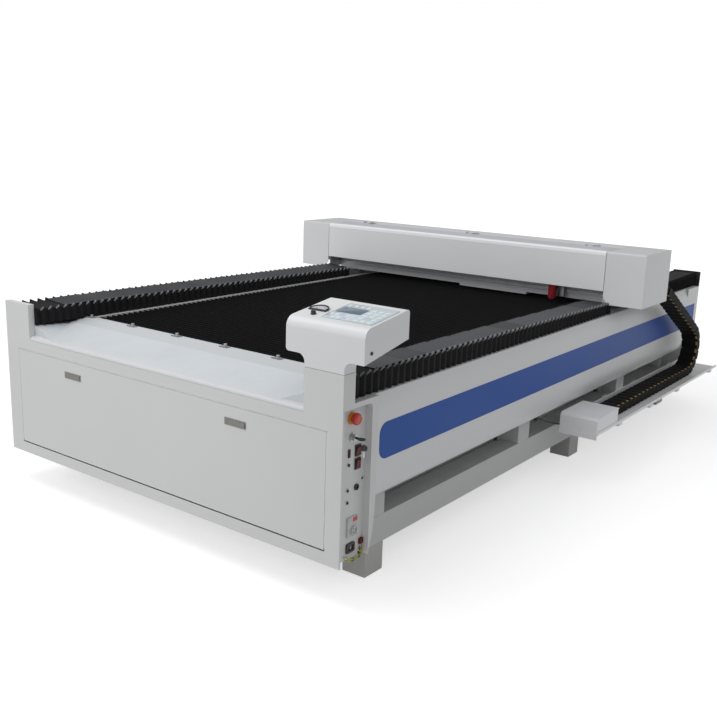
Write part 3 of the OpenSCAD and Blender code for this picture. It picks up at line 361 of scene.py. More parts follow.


# Way covers. Each is a pleated sleeve of coated cloth, glued over thin ribs whose ears stand up as teeth,
# with overlapping plates of grey film along its top. One end is screwed to a post or stop and the other
# to the gantry.
def pleat_cloth_group():
    group, given, made = new_group("pleat_cloth", (0.012, 0.012, 0.013, 1.0), 0.7)
    coords = object_coords(group)
    threads = []
    for direction in ("Y", "Z"):
        wave = group.nodes.new("ShaderNodeTexWave")
        wave.bands_direction = direction
        wave.inputs["Scale"].default_value = 260.0
        group.links.new(coords, wave.inputs["Vector"])
        threads.append(wave.outputs["Fac"])
    weave = math_of(group, "MAXIMUM", threads[0], threads[1])
    cloud = ramp(group, noise(group, coords, 14.0, 5.0), 0.35, 0.7)
    lint = math_of(group, "MULTIPLY", ramp(group, noise(group, coords, 120.0, 6.0, 0.7), 0.5, 0.72), given["Wear"])
    tone = shaded(given["Color"], group, math_of(group, "MULTIPLY_ADD", cloud, 0.5, 0.75))
    group.links.new(mixed(group, lint, tone, (0.16, 0.16, 0.165, 1.0)), made["Color"])
    group.links.new(math_of(group, "MULTIPLY_ADD", cloud, 0.15, given["Gloss"]), made["Roughness"])
    group.links.new(weave, made["Height"])
    return group


pleat_cloth = finish_from("pleat_cloth", pleat_cloth_group(), (0.008, 0.008, 0.009), 0.66, 0.05, 0.12, 0.0004,
                          Specular_IOR_Level=0.22)
cover_film = finish_from("cover_film", powder_coat, (0.028, 0.033, 0.042), 0.42, 0.14, 0.03, Specular_IOR_Level=0.4)
dull_film = finish_from("dull_film", powder_coat, (0.023, 0.027, 0.033), 0.5, 0.16, 0.03, Specular_IOR_Level=0.38)
# Painted shade: the left and rear covers' films are darker copies of the same film.
left_film_painted_shade = finish_from("left_film_painted_shade", powder_coat, (0.021, 0.025, 0.031), 0.45, 0.14, 0.03, Specular_IOR_Level=0.2)
rear_film_painted_shade = finish_from("rear_film_painted_shade", powder_coat, (0.009, 0.009, 0.01), 0.6, 0.05, 0.03, Specular_IOR_Level=0.2)
# Painted highlight: a paler grey for the ear faces where the pleats' folds catch the light.
rib_tip_painted_highlight = finish_from("rib_tip_painted_highlight", moulded_grain, (0.16, 0.17, 0.185), 0.35, 0.1, 0.02)


def set_piece(name, bm, materials, body, sharp=35.0):
    for face in bm.faces:
        face.smooth = True
    for edge in bm.edges:
        edge.smooth = edge.calc_face_angle(math.pi) < math.radians(sharp)
    mesh = bpy.data.meshes.new(name)
    bm.to_mesh(mesh)
    bm.free()
    for material in materials:
        mesh.materials.append(material)
    piece = bpy.data.objects.new(name, mesh)
    bpy.context.scene.collection.objects.link(piece)
    if body:
        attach(piece, body)
    return piece


def add_bar(bm, low, high, paint):
    low, high = spot(*low), spot(*high)
    place = Matrix.Translation((low + high) / 2) @ Matrix.Diagonal((*(high - low), 1.0))
    made = bmesh.ops.create_cube(bm, size=1.0, matrix=place)
    for face in {face for vert in made["verts"] for face in vert.link_faces}:
        face.material_index = paint
    return made["verts"]


def way_cover(name, node, x0, x1, feet, y0, y1, tops, pitch, per_plate, ends, films, lean=0.0, bare_front=False):
    width, length, columns = x1 - x0, y1 - y0, 9
    folds = 2 * round(length / pitch)
    run = length / folds
    rib = ((0, 0), (0, -7), (2.5, -2), (9, -2.5), (14, -10))
    groove = ((11, 0), (11, -21), (12, -17), (13, -15), (15, -13))
    groove_shift, cloth_thick, ear_columns, ear_highlight_paint = 0.45, 0.0009, (6, 7), 2

    def top_at(row):
        return tops[0] + (tops[1] - tops[0]) * row / folds

    bm = bmesh.new()
    bmesh.ops.create_grid(bm, x_segments=columns, y_segments=folds, size=0.5)
    for face in bm.faces:
        middle = face.calc_center_median()
        # Painted highlight: the right-hand ear faces of the front covers take the paler grey.
        if bare_front and int((middle.x + 0.5) * columns) in ear_columns and int((middle.y + 0.5) * folds) % 2:
            face.material_index = ear_highlight_paint
    for vert in bm.verts:
        column = round((vert.co.x + 0.5) * columns)
        row = round((vert.co.y + 0.5) * folds)
        side, rise = (groove if row % 2 else rib)[min(column, columns - column)]
        x = side if column < 5 else width - side
        y = length * (row + row % 2 * groove_shift) / folds
        z = feet[column // columns] if column in (0, columns) else top_at(row) + rise + lean * (1 - x / width)
        vert.co = spot(x0 + x, y0 + y, z)
    bmesh.ops.recalc_face_normals(bm, faces=bm.faces)
    bmesh.ops.solidify(bm, geom=bm.faces[:], thickness=cloth_thick)
    # Painted shade: a black plate at the gantry end, reaching out past the cover, stands where the gap under the end
    # cap lies in shade.
    wing, shade_plate_thick, plate_thick = 20 if x0 > middle_x else -20, 5, 3
    shade_plate = y1 - shade_plate_thick if ends[1] == "gantry" else y0
    add_bar(bm, (min(x0, x0 + wing) + 8, shade_plate, 697), (max(x1, x1 + wing) - 8, shade_plate + shade_plate_thick, 738), 0)
    fixed, fixed_top = (y0, tops[0]) if ends[0] == "base" else (y1 - plate_thick, tops[1])
    add_bar(bm, (x0 + 1, fixed, max(feet)), (x1 - 1, fixed + plate_thick, fixed_top - 12), 0)
    film_thick, film_overlap, front_sink, rear_sink = 0.9, 14, 8.6, 5.6
    for k in range(2 * per_plate if bare_front else 0, folds - 1, 2 * per_plate):
        last = min(k + 2 * per_plate, folds)
        start, end = y0 + run * k, min(y0 + run * last + film_overlap, y1)
        for vert in add_bar(bm, (x0 + 9.5, start, 0), (x1 - 11, end, film_thick), films[k % 5 == 1]):
            place = (vert.co - spot(x0, start, 0)) * 1000.0
            lift = top_at(k) - front_sink if place.y < 2 else top_at(last) - rear_sink
            vert.co.z += (lift + lean * (1 - place.x / width)) / 1000.0
    finishes = (pleat_cloth, cover_film, rib_tip_painted_highlight, dull_film, rear_film_painted_shade, left_film_painted_shade)
    piece = set_piece(name, bm, finishes, None, 25.0)
    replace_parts(piece, node)
    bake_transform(piece)


deck = 693.5
way_cover("way_cover_front_left", "front_bellows", 20, 176, (deck, 707), 27, 2141.5, (780, 756), 38, 4,
          ("base", "gantry"), (5, 5), 10, True)
way_cover("way_cover_front_right", "front_bellows", 1642, 1778, (deck, deck), 60, 2141.5, (779, 754), 38, 4,
          ("base", "gantry"), (1, 3), 0, True)
for name, left, right in (("way_cover_rear_left", 22, 158), ("way_cover_rear_right", 1642, 1778)):
    way_cover(name, "rear_bellows", left, right, (deck, deck), 2490.5, 3492, (756, 774), 26, 6,
              ("gantry", "base"), (4, 4))

# Cable chain. Black moulded links with closed lids are snapped together on side pivots, with a yellow tab
# at each link's outer edge. It lies in its trough, turns over at the rear and climbs to the bracket
# behind the gantry's right end cap.
chain_plastic = finish_from("chain_plastic", moulded_grain, (0.008, 0.007, 0.007), 0.62, 0.02, 0.05,
                            Specular_IOR_Level=0.14)
tab_yellow = finish_from("tab_yellow", moulded_grain, (0.36, 0.27, 0.03), 0.5, 0.12, 0.03)


def join_shape(bm, part, paint, place):
    for face in part.faces:
        face.material_index = paint
    bmesh.ops.recalc_face_normals(part, faces=part.faces)
    bmesh.ops.transform(part, matrix=place, verts=part.verts)
    scratch = bpy.data.meshes.new("scratch")
    part.to_mesh(scratch)
    part.free()
    bm.from_mesh(scratch)
    bpy.data.meshes.remove(scratch)


def add_block(bm, low, high, place, edge=0.0, paint=0):
    part = bmesh.new()
    low, high = Vector(low), Vector(high)
    inside = Matrix.Translation((low + high) / 2) @ Matrix.Diagonal((*(high - low), 1.0))
    bmesh.ops.create_cube(part, size=1.0, matrix=inside)
    if edge:
        bmesh.ops.bevel(part, geom=part.edges[:], offset=edge, affect="EDGES", segments=2, profile=0.5, material=-1)
    join_shape(bm, part, paint, place)


def add_plate(bm, outline, thick, place, edge=0.0, paint=0):
    part = bmesh.new()
    face = part.faces.new([part.verts.new((x, y, 0.0)) for x, y in outline])
    pushed = bmesh.ops.extrude_face_region(part, geom=[face])
    far_side = [v for v in pushed["geom"] if isinstance(v, bmesh.types.BMVert)]
    bmesh.ops.translate(part, vec=(0, 0, thick), verts=far_side)
    if edge:
        rim = [e for e in part.edges if abs(e.verts[0].co.z - e.verts[1].co.z) < 1e-6]
        bmesh.ops.bevel(part, geom=rim, offset=edge, affect="EDGES", segments=2, profile=0.5, material=-1)
    join_shape(bm, part, paint, place)


def add_turned(bm, outline, place, steps=32, paint=0):
    part = bmesh.new()
    ring = [part.verts.new((r, 0.0, h)) for r, h in outline]
    lines = [part.edges.new(pair) for pair in zip(ring, ring[1:])]
    bmesh.ops.spin(part, geom=ring + lines, cent=(0, 0, 0), axis=(0, 0, 1), angle=math.tau, steps=steps,
                   use_merge=True)
    bmesh.ops.remove_doubles(part, verts=part.verts, dist=1e-4)
    join_shape(bm, part, paint, place)


def arc_points(cx, cy, r, start, end, count):
    return [(cx + r * math.cos(math.radians(start + (end - start) * i / count)),
             cy + r * math.sin(math.radians(start + (end - start) * i / count))) for i in range(count + 1)]


in_mm = Matrix.Scale(0.001, 4) @ Matrix.Translation((-middle_x, -middle_y, 0.0))
sideways = Matrix.Rotation(math.pi / 2, 4, "Y")


def cable_chain():
    y0, low, pitch = 1870.0, 263.8, 55.0
    bend, radius = Vector((3050.0, 386.8)), 123.0
    fixing = Vector((2520.0, 800.0))
    hang = fixing - bend
    slope = math.pi / 2 - math.atan2(hang.y, hang.x) + math.acos(radius / hang.length)
    flat = bend.x - y0
    arc = radius * (math.pi - slope)
    climb = bend + radius * Vector((math.sin(slope), math.cos(slope)))

    def along(s):
        if s < flat:
            return Vector((y0 + s, low))
        if s < flat + arc:
            turn = -math.pi / 2 + (s - flat) / radius
            return bend + radius * Vector((math.cos(turn), math.sin(turn)))
        return climb + (s - flat - arc) * Vector((-math.cos(slope), math.sin(slope)))

    count = round((flat + arc + (climb.x - fixing.x) / math.cos(slope)) / pitch)
    bm = bmesh.new()
    half, wall = 22.3, 4.7
    front = arc_points(0, 0, half, 90, 270, 7) + [(31.5, -half), (31.5, half)]
    rear = [(24.0, half), (24.0, -half)] + arc_points(pitch, 0, half, -90, 90, 7)
    pivot = ((0, 0), (6.5, 0), (6.5, 1.6), (0, 1.6))
    stand = Matrix(((0, 0, 1, 0), (1, 0, 0, 0), (0, 1, 0, 0), (0, 0, 0, 1)))
    for i in range(count):
        a, b = along(i * pitch), along((i + 1) * pitch)
        lean = math.atan2(b.y - a.y, b.x - a.x)
        place = in_mm @ Matrix.Translation((1842.0, a.x, a.y)) @ Matrix.Rotation(lean, 4, "X")
        for x, outline in ((0.0, front), (85.3, front), (5.0, rear), (80.3, rear)):
            add_plate(bm, outline, wall, place @ Matrix.Translation((x, 0, 0)) @ stand)
        add_block(bm, (5, 2, 18.8), (85, 53, 22.4), place, 0.8)
        add_block(bm, (5, 1, -22.4), (85, 54, -18.8), place, 0.8)
        add_block(bm, (11, -2, -13), (79, 57, 11), place)
        add_block(bm, (80, 17, 22.2), (90, 38, 23.4), place, 0.4, 1)
        for x in (-0.6, 89.0):
            add_turned(bm, pivot, place @ Matrix.Translation((x, 0, 0)) @ sideways, 10)
    piece = set_piece("chain_links", bm, (chain_plastic, tab_yellow), None)
    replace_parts(piece, "cable_chain")
    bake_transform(piece)


cable_chain()

# Bed. Black flat bars stand on edge across the table with sooty tops, and ground bars frame them.
# The tray's front edge is held by a row of turned clamps.
blade_steel = finish_from("blade_steel", powder_coat, (0.008, 0.008, 0.0085), 0.7, 0.02, 0.1,
                          Specular_IOR_Level=0.15)
dress(("bed_blades",), blade_steel)


def brushed_group():
    group, given, made = new_group("brushed_metal", (0.6, 0.6, 0.6, 1.0), 0.3)
    streaks = noise(group, object_coords(group, (4.0, 400.0, 400.0)), 1.0, 4.0, 0.6)
    smudge = ramp(group, noise(group, object_coords(group), 18.0, 5.0), 0.4, 0.75)
    worn = math_of(group, "MULTIPLY", smudge, given["Wear"])
    tone = shaded(given["Color"], group, math_of(group, "MULTIPLY_ADD", streaks, 0.24, 0.86))
    group.links.new(mixed(group, worn, tone, (0.14, 0.13, 0.12, 1.0)), made["Color"])
    rough = math_of(group, "MULTIPLY_ADD", streaks, 0.14, given["Gloss"])
    group.links.new(math_of(group, "ADD", rough, worn), made["Roughness"])
    group.links.new(streaks, made["Height"])
    return group


brushed = brushed_group()
ground_steel = finish_from("ground_steel", brushed, (0.50, 0.51, 0.53), 0.3, 0.25, 0.05, 0.0003, Metallic=0.9)
dress(("y_rails", "x_rail", "door_hinges", "lid_hinges", "key_switch", "y_carriages"), ground_steel)
soften(("door_hinges", "lid_hinges", "key_switch"))
pale_steel = finish_from("pale_steel", brushed, (0.66, 0.665, 0.67), 0.45, 0.2, 0.05, 0.0003, Metallic=0.25)
dress(("bed_bars",), pale_steel)
clamp_plate = finish_from("clamp_plate", brushed, (0.62, 0.63, 0.65), 0.26, 0.1, 0.04, 0.0003, Metallic=0.85)
dress(("bed_clips",), clamp_plate)
soften(("bed_clips",))
feet_steel = finish_from("feet_steel", brushed, (0.30, 0.305, 0.31), 0.4, 0.3, 0.05, 0.0003, Metallic=0.5)


def clamp_feet():
    bm = bmesh.new()
    first, last, apart = 190, 1540, 270
    for x in range(first, last + 1, apart):
        add_block(bm, (x - 21, 275.5, 705.1), (x + 21, 281.5, 709.5), in_mm, 0.8)
        for side in (x - 21, x + 11):
            add_block(bm, (side, 281.5, 705.1), (side + 10, 300, 707.4), in_mm, 0.5)
    set_piece("clamp_feet", bm, (feet_steel,), "base")


clamp_feet()

# Gantry metalwork. The beam is a painted steel tube, the end plates and the carriage are milled aluminium,
# and the lens tube is turned from aluminium, anodised red, with a dark steel nozzle screwed into its foot.
beam_coat = finish_from("beam_coat", powder_coat, (0.60, 0.61, 0.63), 0.4, 0.12, 0.05)
dress(("gantry_beam",), beam_coat)
milled = finish_from("milled_aluminium", brushed, (0.58, 0.59, 0.61), 0.34, 0.15, 0.05, 0.0003, Metallic=0.85)
dress(("end_plates", "mirrors", "head_carriage"), milled)
red_anodised = finish_from("red_anodised", brushed, (0.33, 0.012, 0.022), 0.3, 0.05, 0.03, 0.0003, Metallic=0.45)
tint_below(red_anodised, "Z", 0.7298, 0.7302, (0.05, 0.045, 0.045, 1.0))
dress(("lens_tube",), red_anodised)
soften(("lens_tube", "mirrors"))


# Laser tube. A sealed glass cylinder with a thinner bore tube in it, turned metal ends and an electrode at each end,
# held in two saddles inside the gantry.
def laser_tube():
    along_x = in_mm @ Matrix.Translation((137.0, 2370.0, 854.0)) @ sideways
    length = 1481
    glass = bmesh.new()
    add_turned(glass, ((28, 34), (38, 36), (39.9, 44), (39.9, 1437), (38, 1445), (28, 1447), (28, 1444.5),
                       (36.5, 1442.5), (37.6, 1436), (37.6, 45), (36.5, 38.5), (28, 36.5), (28, 34)), along_x, 40)
    tube_glass = bpy.data.materials.new("tube_glass")
    tube_glass.use_nodes = True
    tree = tube_glass.node_tree
    shader = tree.nodes["Principled BSDF"]
    shader.inputs["Transmission Weight"].default_value = 1.0
    shader.inputs["IOR"].default_value = 1.47
    tint = ramp(tree, noise(tree, object_coords(tree), 9.0, 3.0), 0.3, 0.8)
    tree.links.new(mixed(tree, tint, (0.93, 0.96, 0.97, 1.0), (0.86, 0.92, 0.94, 1.0)), shader.inputs["Base Color"])
    tree.links.new(math_of(tree, "MULTIPLY_ADD", tint, 0.05, 0.02), shader.inputs["Roughness"])
    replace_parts(set_piece("laser_glass", glass, (tube_glass,), "gantry"), "laser_tube")
    bore = bmesh.new()
    add_turned(bore, ((7, 60), (9, 62), (9, 1419), (7, 1421), (7, 60)), along_x, 20)
    cap = ((0, 0), (24, 0), (26, 2), (26, 12), (28, 13), (28, 35), (0, 35))
    electrode = ((0, 46), (22, 46), (22, 90), (20, 90), (20, 50), (0, 50))
    for end, step in ((0, 1), (length, -1)):
        for outline in (cap, electrode):
            add_turned(bore, [(r, end + h * step) for r, h in outline], along_x, 32, 1)
    pale = finish_from("bore_glass", moulded_grain, (0.72, 0.76, 0.78), 0.15, 0.02, 0.01)
    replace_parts(set_piece("laser_core", bore, (pale, milled), "gantry"), "laser_tube")


laser_tube()


# Console face. A pale blue printed film lies on the sloping top with a display window and domed keys under it,
# and beside it an arched dial with its knob. A screw closes the housing's side.
film_blue = finish_from("film_blue", powder_coat, (0.60, 0.71, 0.76), 0.18, 0.05, 0.01, Coat_Weight=0.4)
film_edge = finish_from("film_edge", powder_coat, (0.46, 0.53, 0.58), 0.2, 0.05, 0.01)
window_dark = finish_from("window_dark", powder_coat, (0.075, 0.135, 0.20), 0.16, 0.03, 0.005, Coat_Weight=0.5)
key_pale = finish_from("key_pale", powder_coat, (0.78, 0.84, 0.88), 0.2, 0.04, 0.01)
key_lilac = finish_from("key_lilac", powder_coat, (0.58, 0.63, 0.78), 0.2, 0.04, 0.01)
gauge_black = finish_from("gauge_black", moulded_grain, (0.014, 0.014, 0.015), 0.3, 0.06, 0.04)
gauge_paper = finish_from("gauge_paper", powder_coat, (0.56, 0.55, 0.62), 0.35, 0.05, 0.01)
pointer_red = finish_from("tab_red", moulded_grain, (0.22, 0.012, 0.014), 0.3, 0.05, 0.02)
screw_dark = finish_from("screw_dark", brushed, (0.06, 0.06, 0.065), 0.35, 0.1, 0.04, 0.0003, Metallic=0.8)


def on_console(x, y, z=0.0):
    tilt = Matrix.Rotation(math.atan2(30.0, 199.0), 4, "X")
    return in_mm @ Matrix.Translation((1562.0, 36.0, 948.0)) @ tilt @ Matrix.Translation((x, y, z))


def rounded(x0, y0, x1, y1, r):
    return (arc_points(x1 - r, y0 + r, r, -90, 0, 4) + arc_points(x1 - r, y1 - r, r, 0, 90, 4)
            + arc_points(x0 + r, y1 - r, r, 90, 180, 4) + arc_points(x0 + r, y0 + r, r, 180, 270, 4))


def console_face():
    bm = bmesh.new()
    add_plate(bm, rounded(101, 10, 302, 166, 5), 1.0, on_console(0, 0, 0.1), 0.25, 1)
    add_plate(bm, rounded(104, 13, 299, 163, 4), 0.5, on_console(0, 0, 0.9), 0.15, 0)
    add_plate(bm, rounded(110, 74, 210, 128, 4), 0.5, on_console(0, 0, 1.3), 0.15, 2)
    keys, row_pitch, on_film = [], 25, on_console(0, 0, 1.2)
    for column in range(5):
        for row in range(2):
            x, y = 110 + column * 20.5, 20 + row * row_pitch
            keys.append((rounded(x, y, x + 15, y + 16, 4), 3 if (column + row) % 3 else 4))
    for column in range(3):
        for row in range(5):
            x, y = 219 + column * 26, 20 + row * row_pitch
            keys.append((rounded(x, y, x + 20, y + 16, 4), 4 if column == row == 1 else 3))
    for column in range(4):
        keys.append((rounded(112 + column * 25, 140, 127 + column * 25, 152, 3), 3))
    for outline, paint in keys:
        add_plate(bm, outline, 1.1, on_film, 0.4, paint)
    finishes = (film_blue, film_edge, window_dark, key_pale, key_lilac)
    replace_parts(set_piece("console_film", bm, finishes, "base"), "keypad", "display")
    gauge = bmesh.new()
    arch = arc_points(51, 62, 36, 0, 180, 24) + [(15, 54), (87, 54)]
    add_plate(gauge, arch, 4.0, on_console(0, 0, 0.0), 1.0, 0)
    add_plate(gauge, arc_points(51, 61, 31, 4, 176, 22), 0.8, on_console(0, 0, 3.8), 0.0, 1)
    rim = arc_points(51, 62, 36, 0, 180, 24) + arc_points(51, 62, 32.5, 180, 0, 24)
    add_plate(gauge, rim, 3.0, on_console(0, 0, 4.0), 0.6, 0)
    for step in range(11):
        turn = Matrix.Rotation(math.radians(25 + step * 13.0), 4, "Z")
        add_block(gauge, (23, -0.4, 0), (28.5, 0.4, 0.3), on_console(51, 59, 4.5) @ turn, 0.0, 0)
    pointed = Matrix.Rotation(math.radians(142), 4, "Z")
    add_block(gauge, (0, -0.5, 0), (25, 0.5, 0.4), on_console(51, 59, 5.2) @ pointed, 0.0, 2)
    knob = ((0, 0), (9.5, 0), (9.5, 2.4), (8, 3.2), (7.6, 11), (6.8, 12.2), (0, 12.4))
    add_turned(gauge, knob, on_console(64, 22), 28, 0)
    add_block(gauge, (-0.6, 2, 12.2), (0.6, 7, 12.6), on_console(64, 22), 0.0, 1)
    dial = set_piece("console_dial", gauge, (gauge_black, gauge_paper, pointer_red), "base")
    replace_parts(dial, "meter")
    side = bmesh.new()
    outward = in_mm @ Matrix.Translation((1875.0, 35.0, 867.0)) @ sideways
    add_turned(side, ((0, 1.2), (2.2, 1.2), (2.6, 3.0), (5.0, 3.0), (6.2, 1.6), (6.4, 0.0), (0, 0.0)), outward, 24)
    set_piece("console_screw", side, (screw_dark,), "base")


console_face()

# Switch column. Bought-in plastic switches and sockets are clipped into holes in the recess's plate:
# a mushroom stop on an orange collar, a plated key switch with its spare key on a ring, lit rockers,
# signal sockets, an outlet and an inlet.
stop_red = finish_from("stop_red", moulded_grain, (0.55, 0.028, 0.016), 0.28, 0.04, 0.02, Coat_Weight=0.2)
collar_orange = finish_from("collar_orange", moulded_grain, (0.62, 0.24, 0.03), 0.35, 0.05, 0.03)
socket_black = finish_from("socket_black", moulded_grain, (0.014, 0.014, 0.015), 0.42, 0.06, 0.05)
rocker_red = finish_from("rocker_red", moulded_grain, (0.13, 0.007, 0.009), 0.35, 0.03, 0.02, Specular_IOR_Level=0.3)
outlet_grey = finish_from("outlet_grey", moulded_grain, (0.52, 0.53, 0.54), 0.4, 0.06, 0.04)
dress(("estop_collar",), collar_orange)
dress(("key", "rocker_frames", "sockets", "power_inlet"), socket_black)
dress(("rocker_upper", "rocker_lower"), rocker_red)
dress(("breaker",), outlet_grey)
soften(("estop_collar", "key", "rocker_frames", "sockets", "power_inlet", "rocker_upper", "rocker_lower",
        "breaker"), 0.4)


def on_plate(y, z, x=1772.0):
    return in_mm @ Matrix.Translation((x, y, z)) @ sideways


def on_ring(turn):
    return Vector((1821 + 9 * math.sin(turn), 87.0, 558 + 9 * math.cos(turn)))


def switch_column():
    stop = bmesh.new()
    add_turned(stop, ((0, 6.5), (8, 6.5), (8, 15.6), (17, 16.0), (19.4, 16.8), (20, 18.2), (20, 23), (19.2, 26.6),
                      (16.5, 29.4), (12.5, 30.6), (11.4, 29.9), (0, 30.4)), on_plate(82, 632), 40)
    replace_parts(set_piece("stop_mushroom", stop, (stop_red,), "stop_button"), "estop_button")
    ring, sides, wire = bmesh.new(), 28, 0.8
    for k in range(sides):
        a, b = on_ring(math.tau * k / sides), on_ring(math.tau * (k + 1) / sides)
        length = (b - a).length
        facing = (b - a).to_track_quat("Z", "Y").to_matrix().to_4x4()
        add_turned(ring, ((0, -0.2), (wire, 0), (wire, length), (0, length + 0.2)),
                   in_mm @ Matrix.Translation(a) @ facing, 8, 0)
    swung, upright = Matrix.Rotation(math.radians(35), 4, "Z"), Matrix.Rotation(math.pi / 2, 4, "X")
    hang = in_mm @ Matrix.Translation((1821.0, 87.0, 551.0)) @ swung @ upright
    add_plate(ring, arc_points(0, -11, 11.5, -60, 240, 16), 4.0, hang @ Matrix.Translation((0, 0, -2)), 0.8, 1)
    add_block(ring, (-3.2, -42, -1.1), (3.2, -19, 1.1), hang, 0.3, 0)
    set_piece("spare_key", ring, (ground_steel, socket_black), "base")
    fittings = bmesh.new()
    red, bright_red, grey, black, plated = range(5)
    add_block(fittings, (-10, -3, 3.8), (10, 3, 5.2), on_plate(73, 514), 0.6, red)
    add_plate(fittings, rounded(-7, -13, 7, 9, 2), 1.4, on_plate(112, 280, 1777.9), 0.4, bright_red)
    for turn in (0, 120, 240):
        spin = Matrix.Rotation(math.radians(turn), 4, "Z")
        add_block(fittings, (-1.4, 5, 9.6), (1.4, 10, 10.2), on_plate(101, 244) @ spin, 0.0, black)
    collar = ((12.6, 10), (15, 10), (15, 12), (14, 12.8), (12.6, 12.4), (12.6, 10))
    add_turned(fittings, collar, on_plate(101, 244), 32, grey)
    add_block(fittings, (-10, -9, 0), (10, 9, 9), on_plate(147, 189), 1.4, red)
    screw = ((0, 1.0), (1.2, 1.0), (1.6, 2.0), (3.2, 2.0), (4.0, 0.8), (4.0, 0.0), (0, 0))
    for y, z in ((149, 410), (24, 640), (24, 170)):
        add_turned(fittings, screw, on_plate(y, z), 18, black)
    nut = ((6.0, 0), (8.2, 0), (8.2, 1.6), (7.4, 2.4), (6.0, 2.4), (6.0, 0))
    for y, z in ((69, 388), (69, 346)):
        add_turned(fittings, nut, on_plate(y, z), 24, plated)
    wide_nut = ((6.4, 0), (9, 0), (9, 1.6), (8, 2.4), (6.4, 2.4), (6.4, 0))
    add_turned(fittings, wide_nut, on_plate(71, 475), 24, plated)
    for x in (-5, 0, 5):
        low, high = (x - 1.0, -3.4 + abs(x) * 0.8, 1.0), (x + 1.0, 3.4 - abs(x) * 0.2, 4.4)
        add_block(fittings, low, high, on_plate(92, 182), 0.0, plated)
    stud = ((0, 0), (7.5, 0), (7.5, 2), (4, 2.2), (4, 9), (3.2, 9.8), (0, 9.8))
    add_turned(fittings, stud, on_plate(62, 155), 6, plated)
    grommet = ((2.8, 0), (4.6, 0), (4.6, 1.4), (3.6, 2.2), (2.8, 2.2), (2.8, 0))
    for y, z in ((146, 163), (152, 155), (141, 147)):
        add_turned(fittings, grommet, on_plate(y, z), 18, black)
    finishes = (rocker_red, stop_red, outlet_grey, socket_black, clamp_plate)
    set_piece("plate_fittings", fittings, finishes, "base")


switch_column()

# Latches. Flush die-cast latches with a grey moulded bezel and a darker handle are clipped into the door.
bezel_grey = finish_from("bezel_grey", moulded_grain, (0.24, 0.235, 0.225), 0.42, 0.08, 0.04)
handle_grey = finish_from("handle_grey", brushed, (0.25, 0.24, 0.225), 0.4, 0.15, 0.04, 0.0003, Metallic=0.3)
dress(("latch_frames",), bezel_grey)
dress(("latch_left", "latch_right"), handle_grey)
soften(("latch_frames", "latch_left", "latch_right"), 0.5)

# Door seal. A pale foam strip is glued behind the rim of the door's opening, along its top and both sides.
seal_foam = finish_from("seal_foam", moulded_grain, (0.72, 0.71, 0.69), 0.8, 0.05, 0.1)


def door_seal():
    bm = bmesh.new()
    left, right, bottom, top, strip = 80.2, 1738.8, 200, 599.8, 3.2
    for x0, x1, z0 in ((left, left + strip, bottom), (right - strip, right, bottom), (left, right, top - strip)):
        add_block(bm, (x0, 0.6, z0), (x1, 9, top), in_mm, 0.3)
    set_piece("door_seal", bm, (seal_foam,), "base")


door_seal()

# Electrics. A plated back plate behind the door carries the power unit, the controller, three axis drives
# and a filter. They are bolted on with slotted ducts above and below, and have vents, fins and rows
# of plug-in terminals.
plated = finish_from("zinc_plate", brushed, (0.46, 0.47, 0.48), 0.4, 0.15, 0.05, 0.0003, Metallic=0.7)
dress(("electrics",), plated)
duct_grey = finish_from("duct_grey", moulded_grain, (0.36, 0.37, 0.38), 0.5, 0.05, 0.05)
terminal_green = finish_from("terminal_green", moulded_grain, (0.03, 0.22, 0.07), 0.45, 0.05, 0.04)


def electrics_detail():
    bm = bmesh.new()
    grey, green, black, bright = range(4)
    for z in (160, 512):
        add_block(bm, (290, 100, z), (1530, 138, z + 36), in_mm, 1.0, grey)
        for x in range(300, 1501, 20):
            add_block(bm, (x, 98.6, z + 4), (x + 8, 100.2, z + 32), in_mm, 0.0, black)
    grille = in_mm @ Matrix.Translation((500.0, 52.0, 296.0)) @ Matrix.Rotation(math.pi / 2, 4, "X")
    for r in (12, 24, 36, 48):
        add_turned(bm, ((r, 0), (r + 3, 0), (r + 3, 3), (r, 3), (r, 0)), grille, 32, black)
    add_turned(bm, ((0, 0), (54, 0), (54, 0.8), (0, 0.8)), grille, 32, black)
    for k in range(9):
        vent_z, filter_x, controller_x, supply_x = 236 + k * 14, 1290 + k * 23, 650 + k * 21, 334 + k * 26
        add_block(bm, (334, 51.2, vent_z), (424, 52.4, vent_z + 6), in_mm, 0.0, black)
        add_block(bm, (filter_x, 70.6, 300), (filter_x + 14, 72.4, 334), in_mm, 0.0, black)
        add_block(bm, (controller_x, 70, 214), (controller_x + 17, 83, 232), in_mm, 0.8, green)
        add_block(bm, (controller_x, 70, 418), (controller_x + 17, 83, 436), in_mm, 0.8, green)
        add_block(bm, (filter_x, 60, 214), (filter_x + 19, 73, 238), in_mm, 0.8, green)
        add_block(bm, (supply_x, 40, 210), (supply_x + 20, 53, 226), in_mm, 0.8, black)
    for x in (911, 1028, 1145):
        for y in range(72, 127, 9):
            add_block(bm, (x + 60, y, 210), (x + 72, y + 3, 352), in_mm, 0.5, bright)
        for z in (218, 246, 310):
            add_block(bm, (x + 10, 50, z), (x + 50, 63, z + 20), in_mm, 0.8, green)
    finishes = (duct_grey, terminal_green, socket_black, milled)
    set_piece("electrics_detail", bm, finishes, "base")


electrics_detail()


# Cable fittings. Rubber grommets line the holes where the hood's cable passes through sheet,
# and nylon clips screwed under the side cover's lower edge carry it.
def cable_fittings():
    bm = bmesh.new()
    grommet = ((3.6, 0), (8.5, 0), (8.5, 2), (6.5, 4), (3.6, 5), (3.6, 0))
    add_turned(bm, grommet, in_mm @ Matrix.Translation((1614.0, 1540.0, 300.0)) @ sideways, 24)
    inward = Matrix.Rotation(-math.pi / 2, 4, "Y")
    add_turned(bm, grommet, in_mm @ Matrix.Translation((1805.0, 1650.0, 254.0)) @ inward, 24)
    for y in (1102, 1468, 2123):
        add_block(bm, (1748, y - 8, 299), (1766, y + 8, 320), in_mm, 1.5)
    set_piece("cable_grommets", bm, (socket_black,), "base")


cable_fittings()


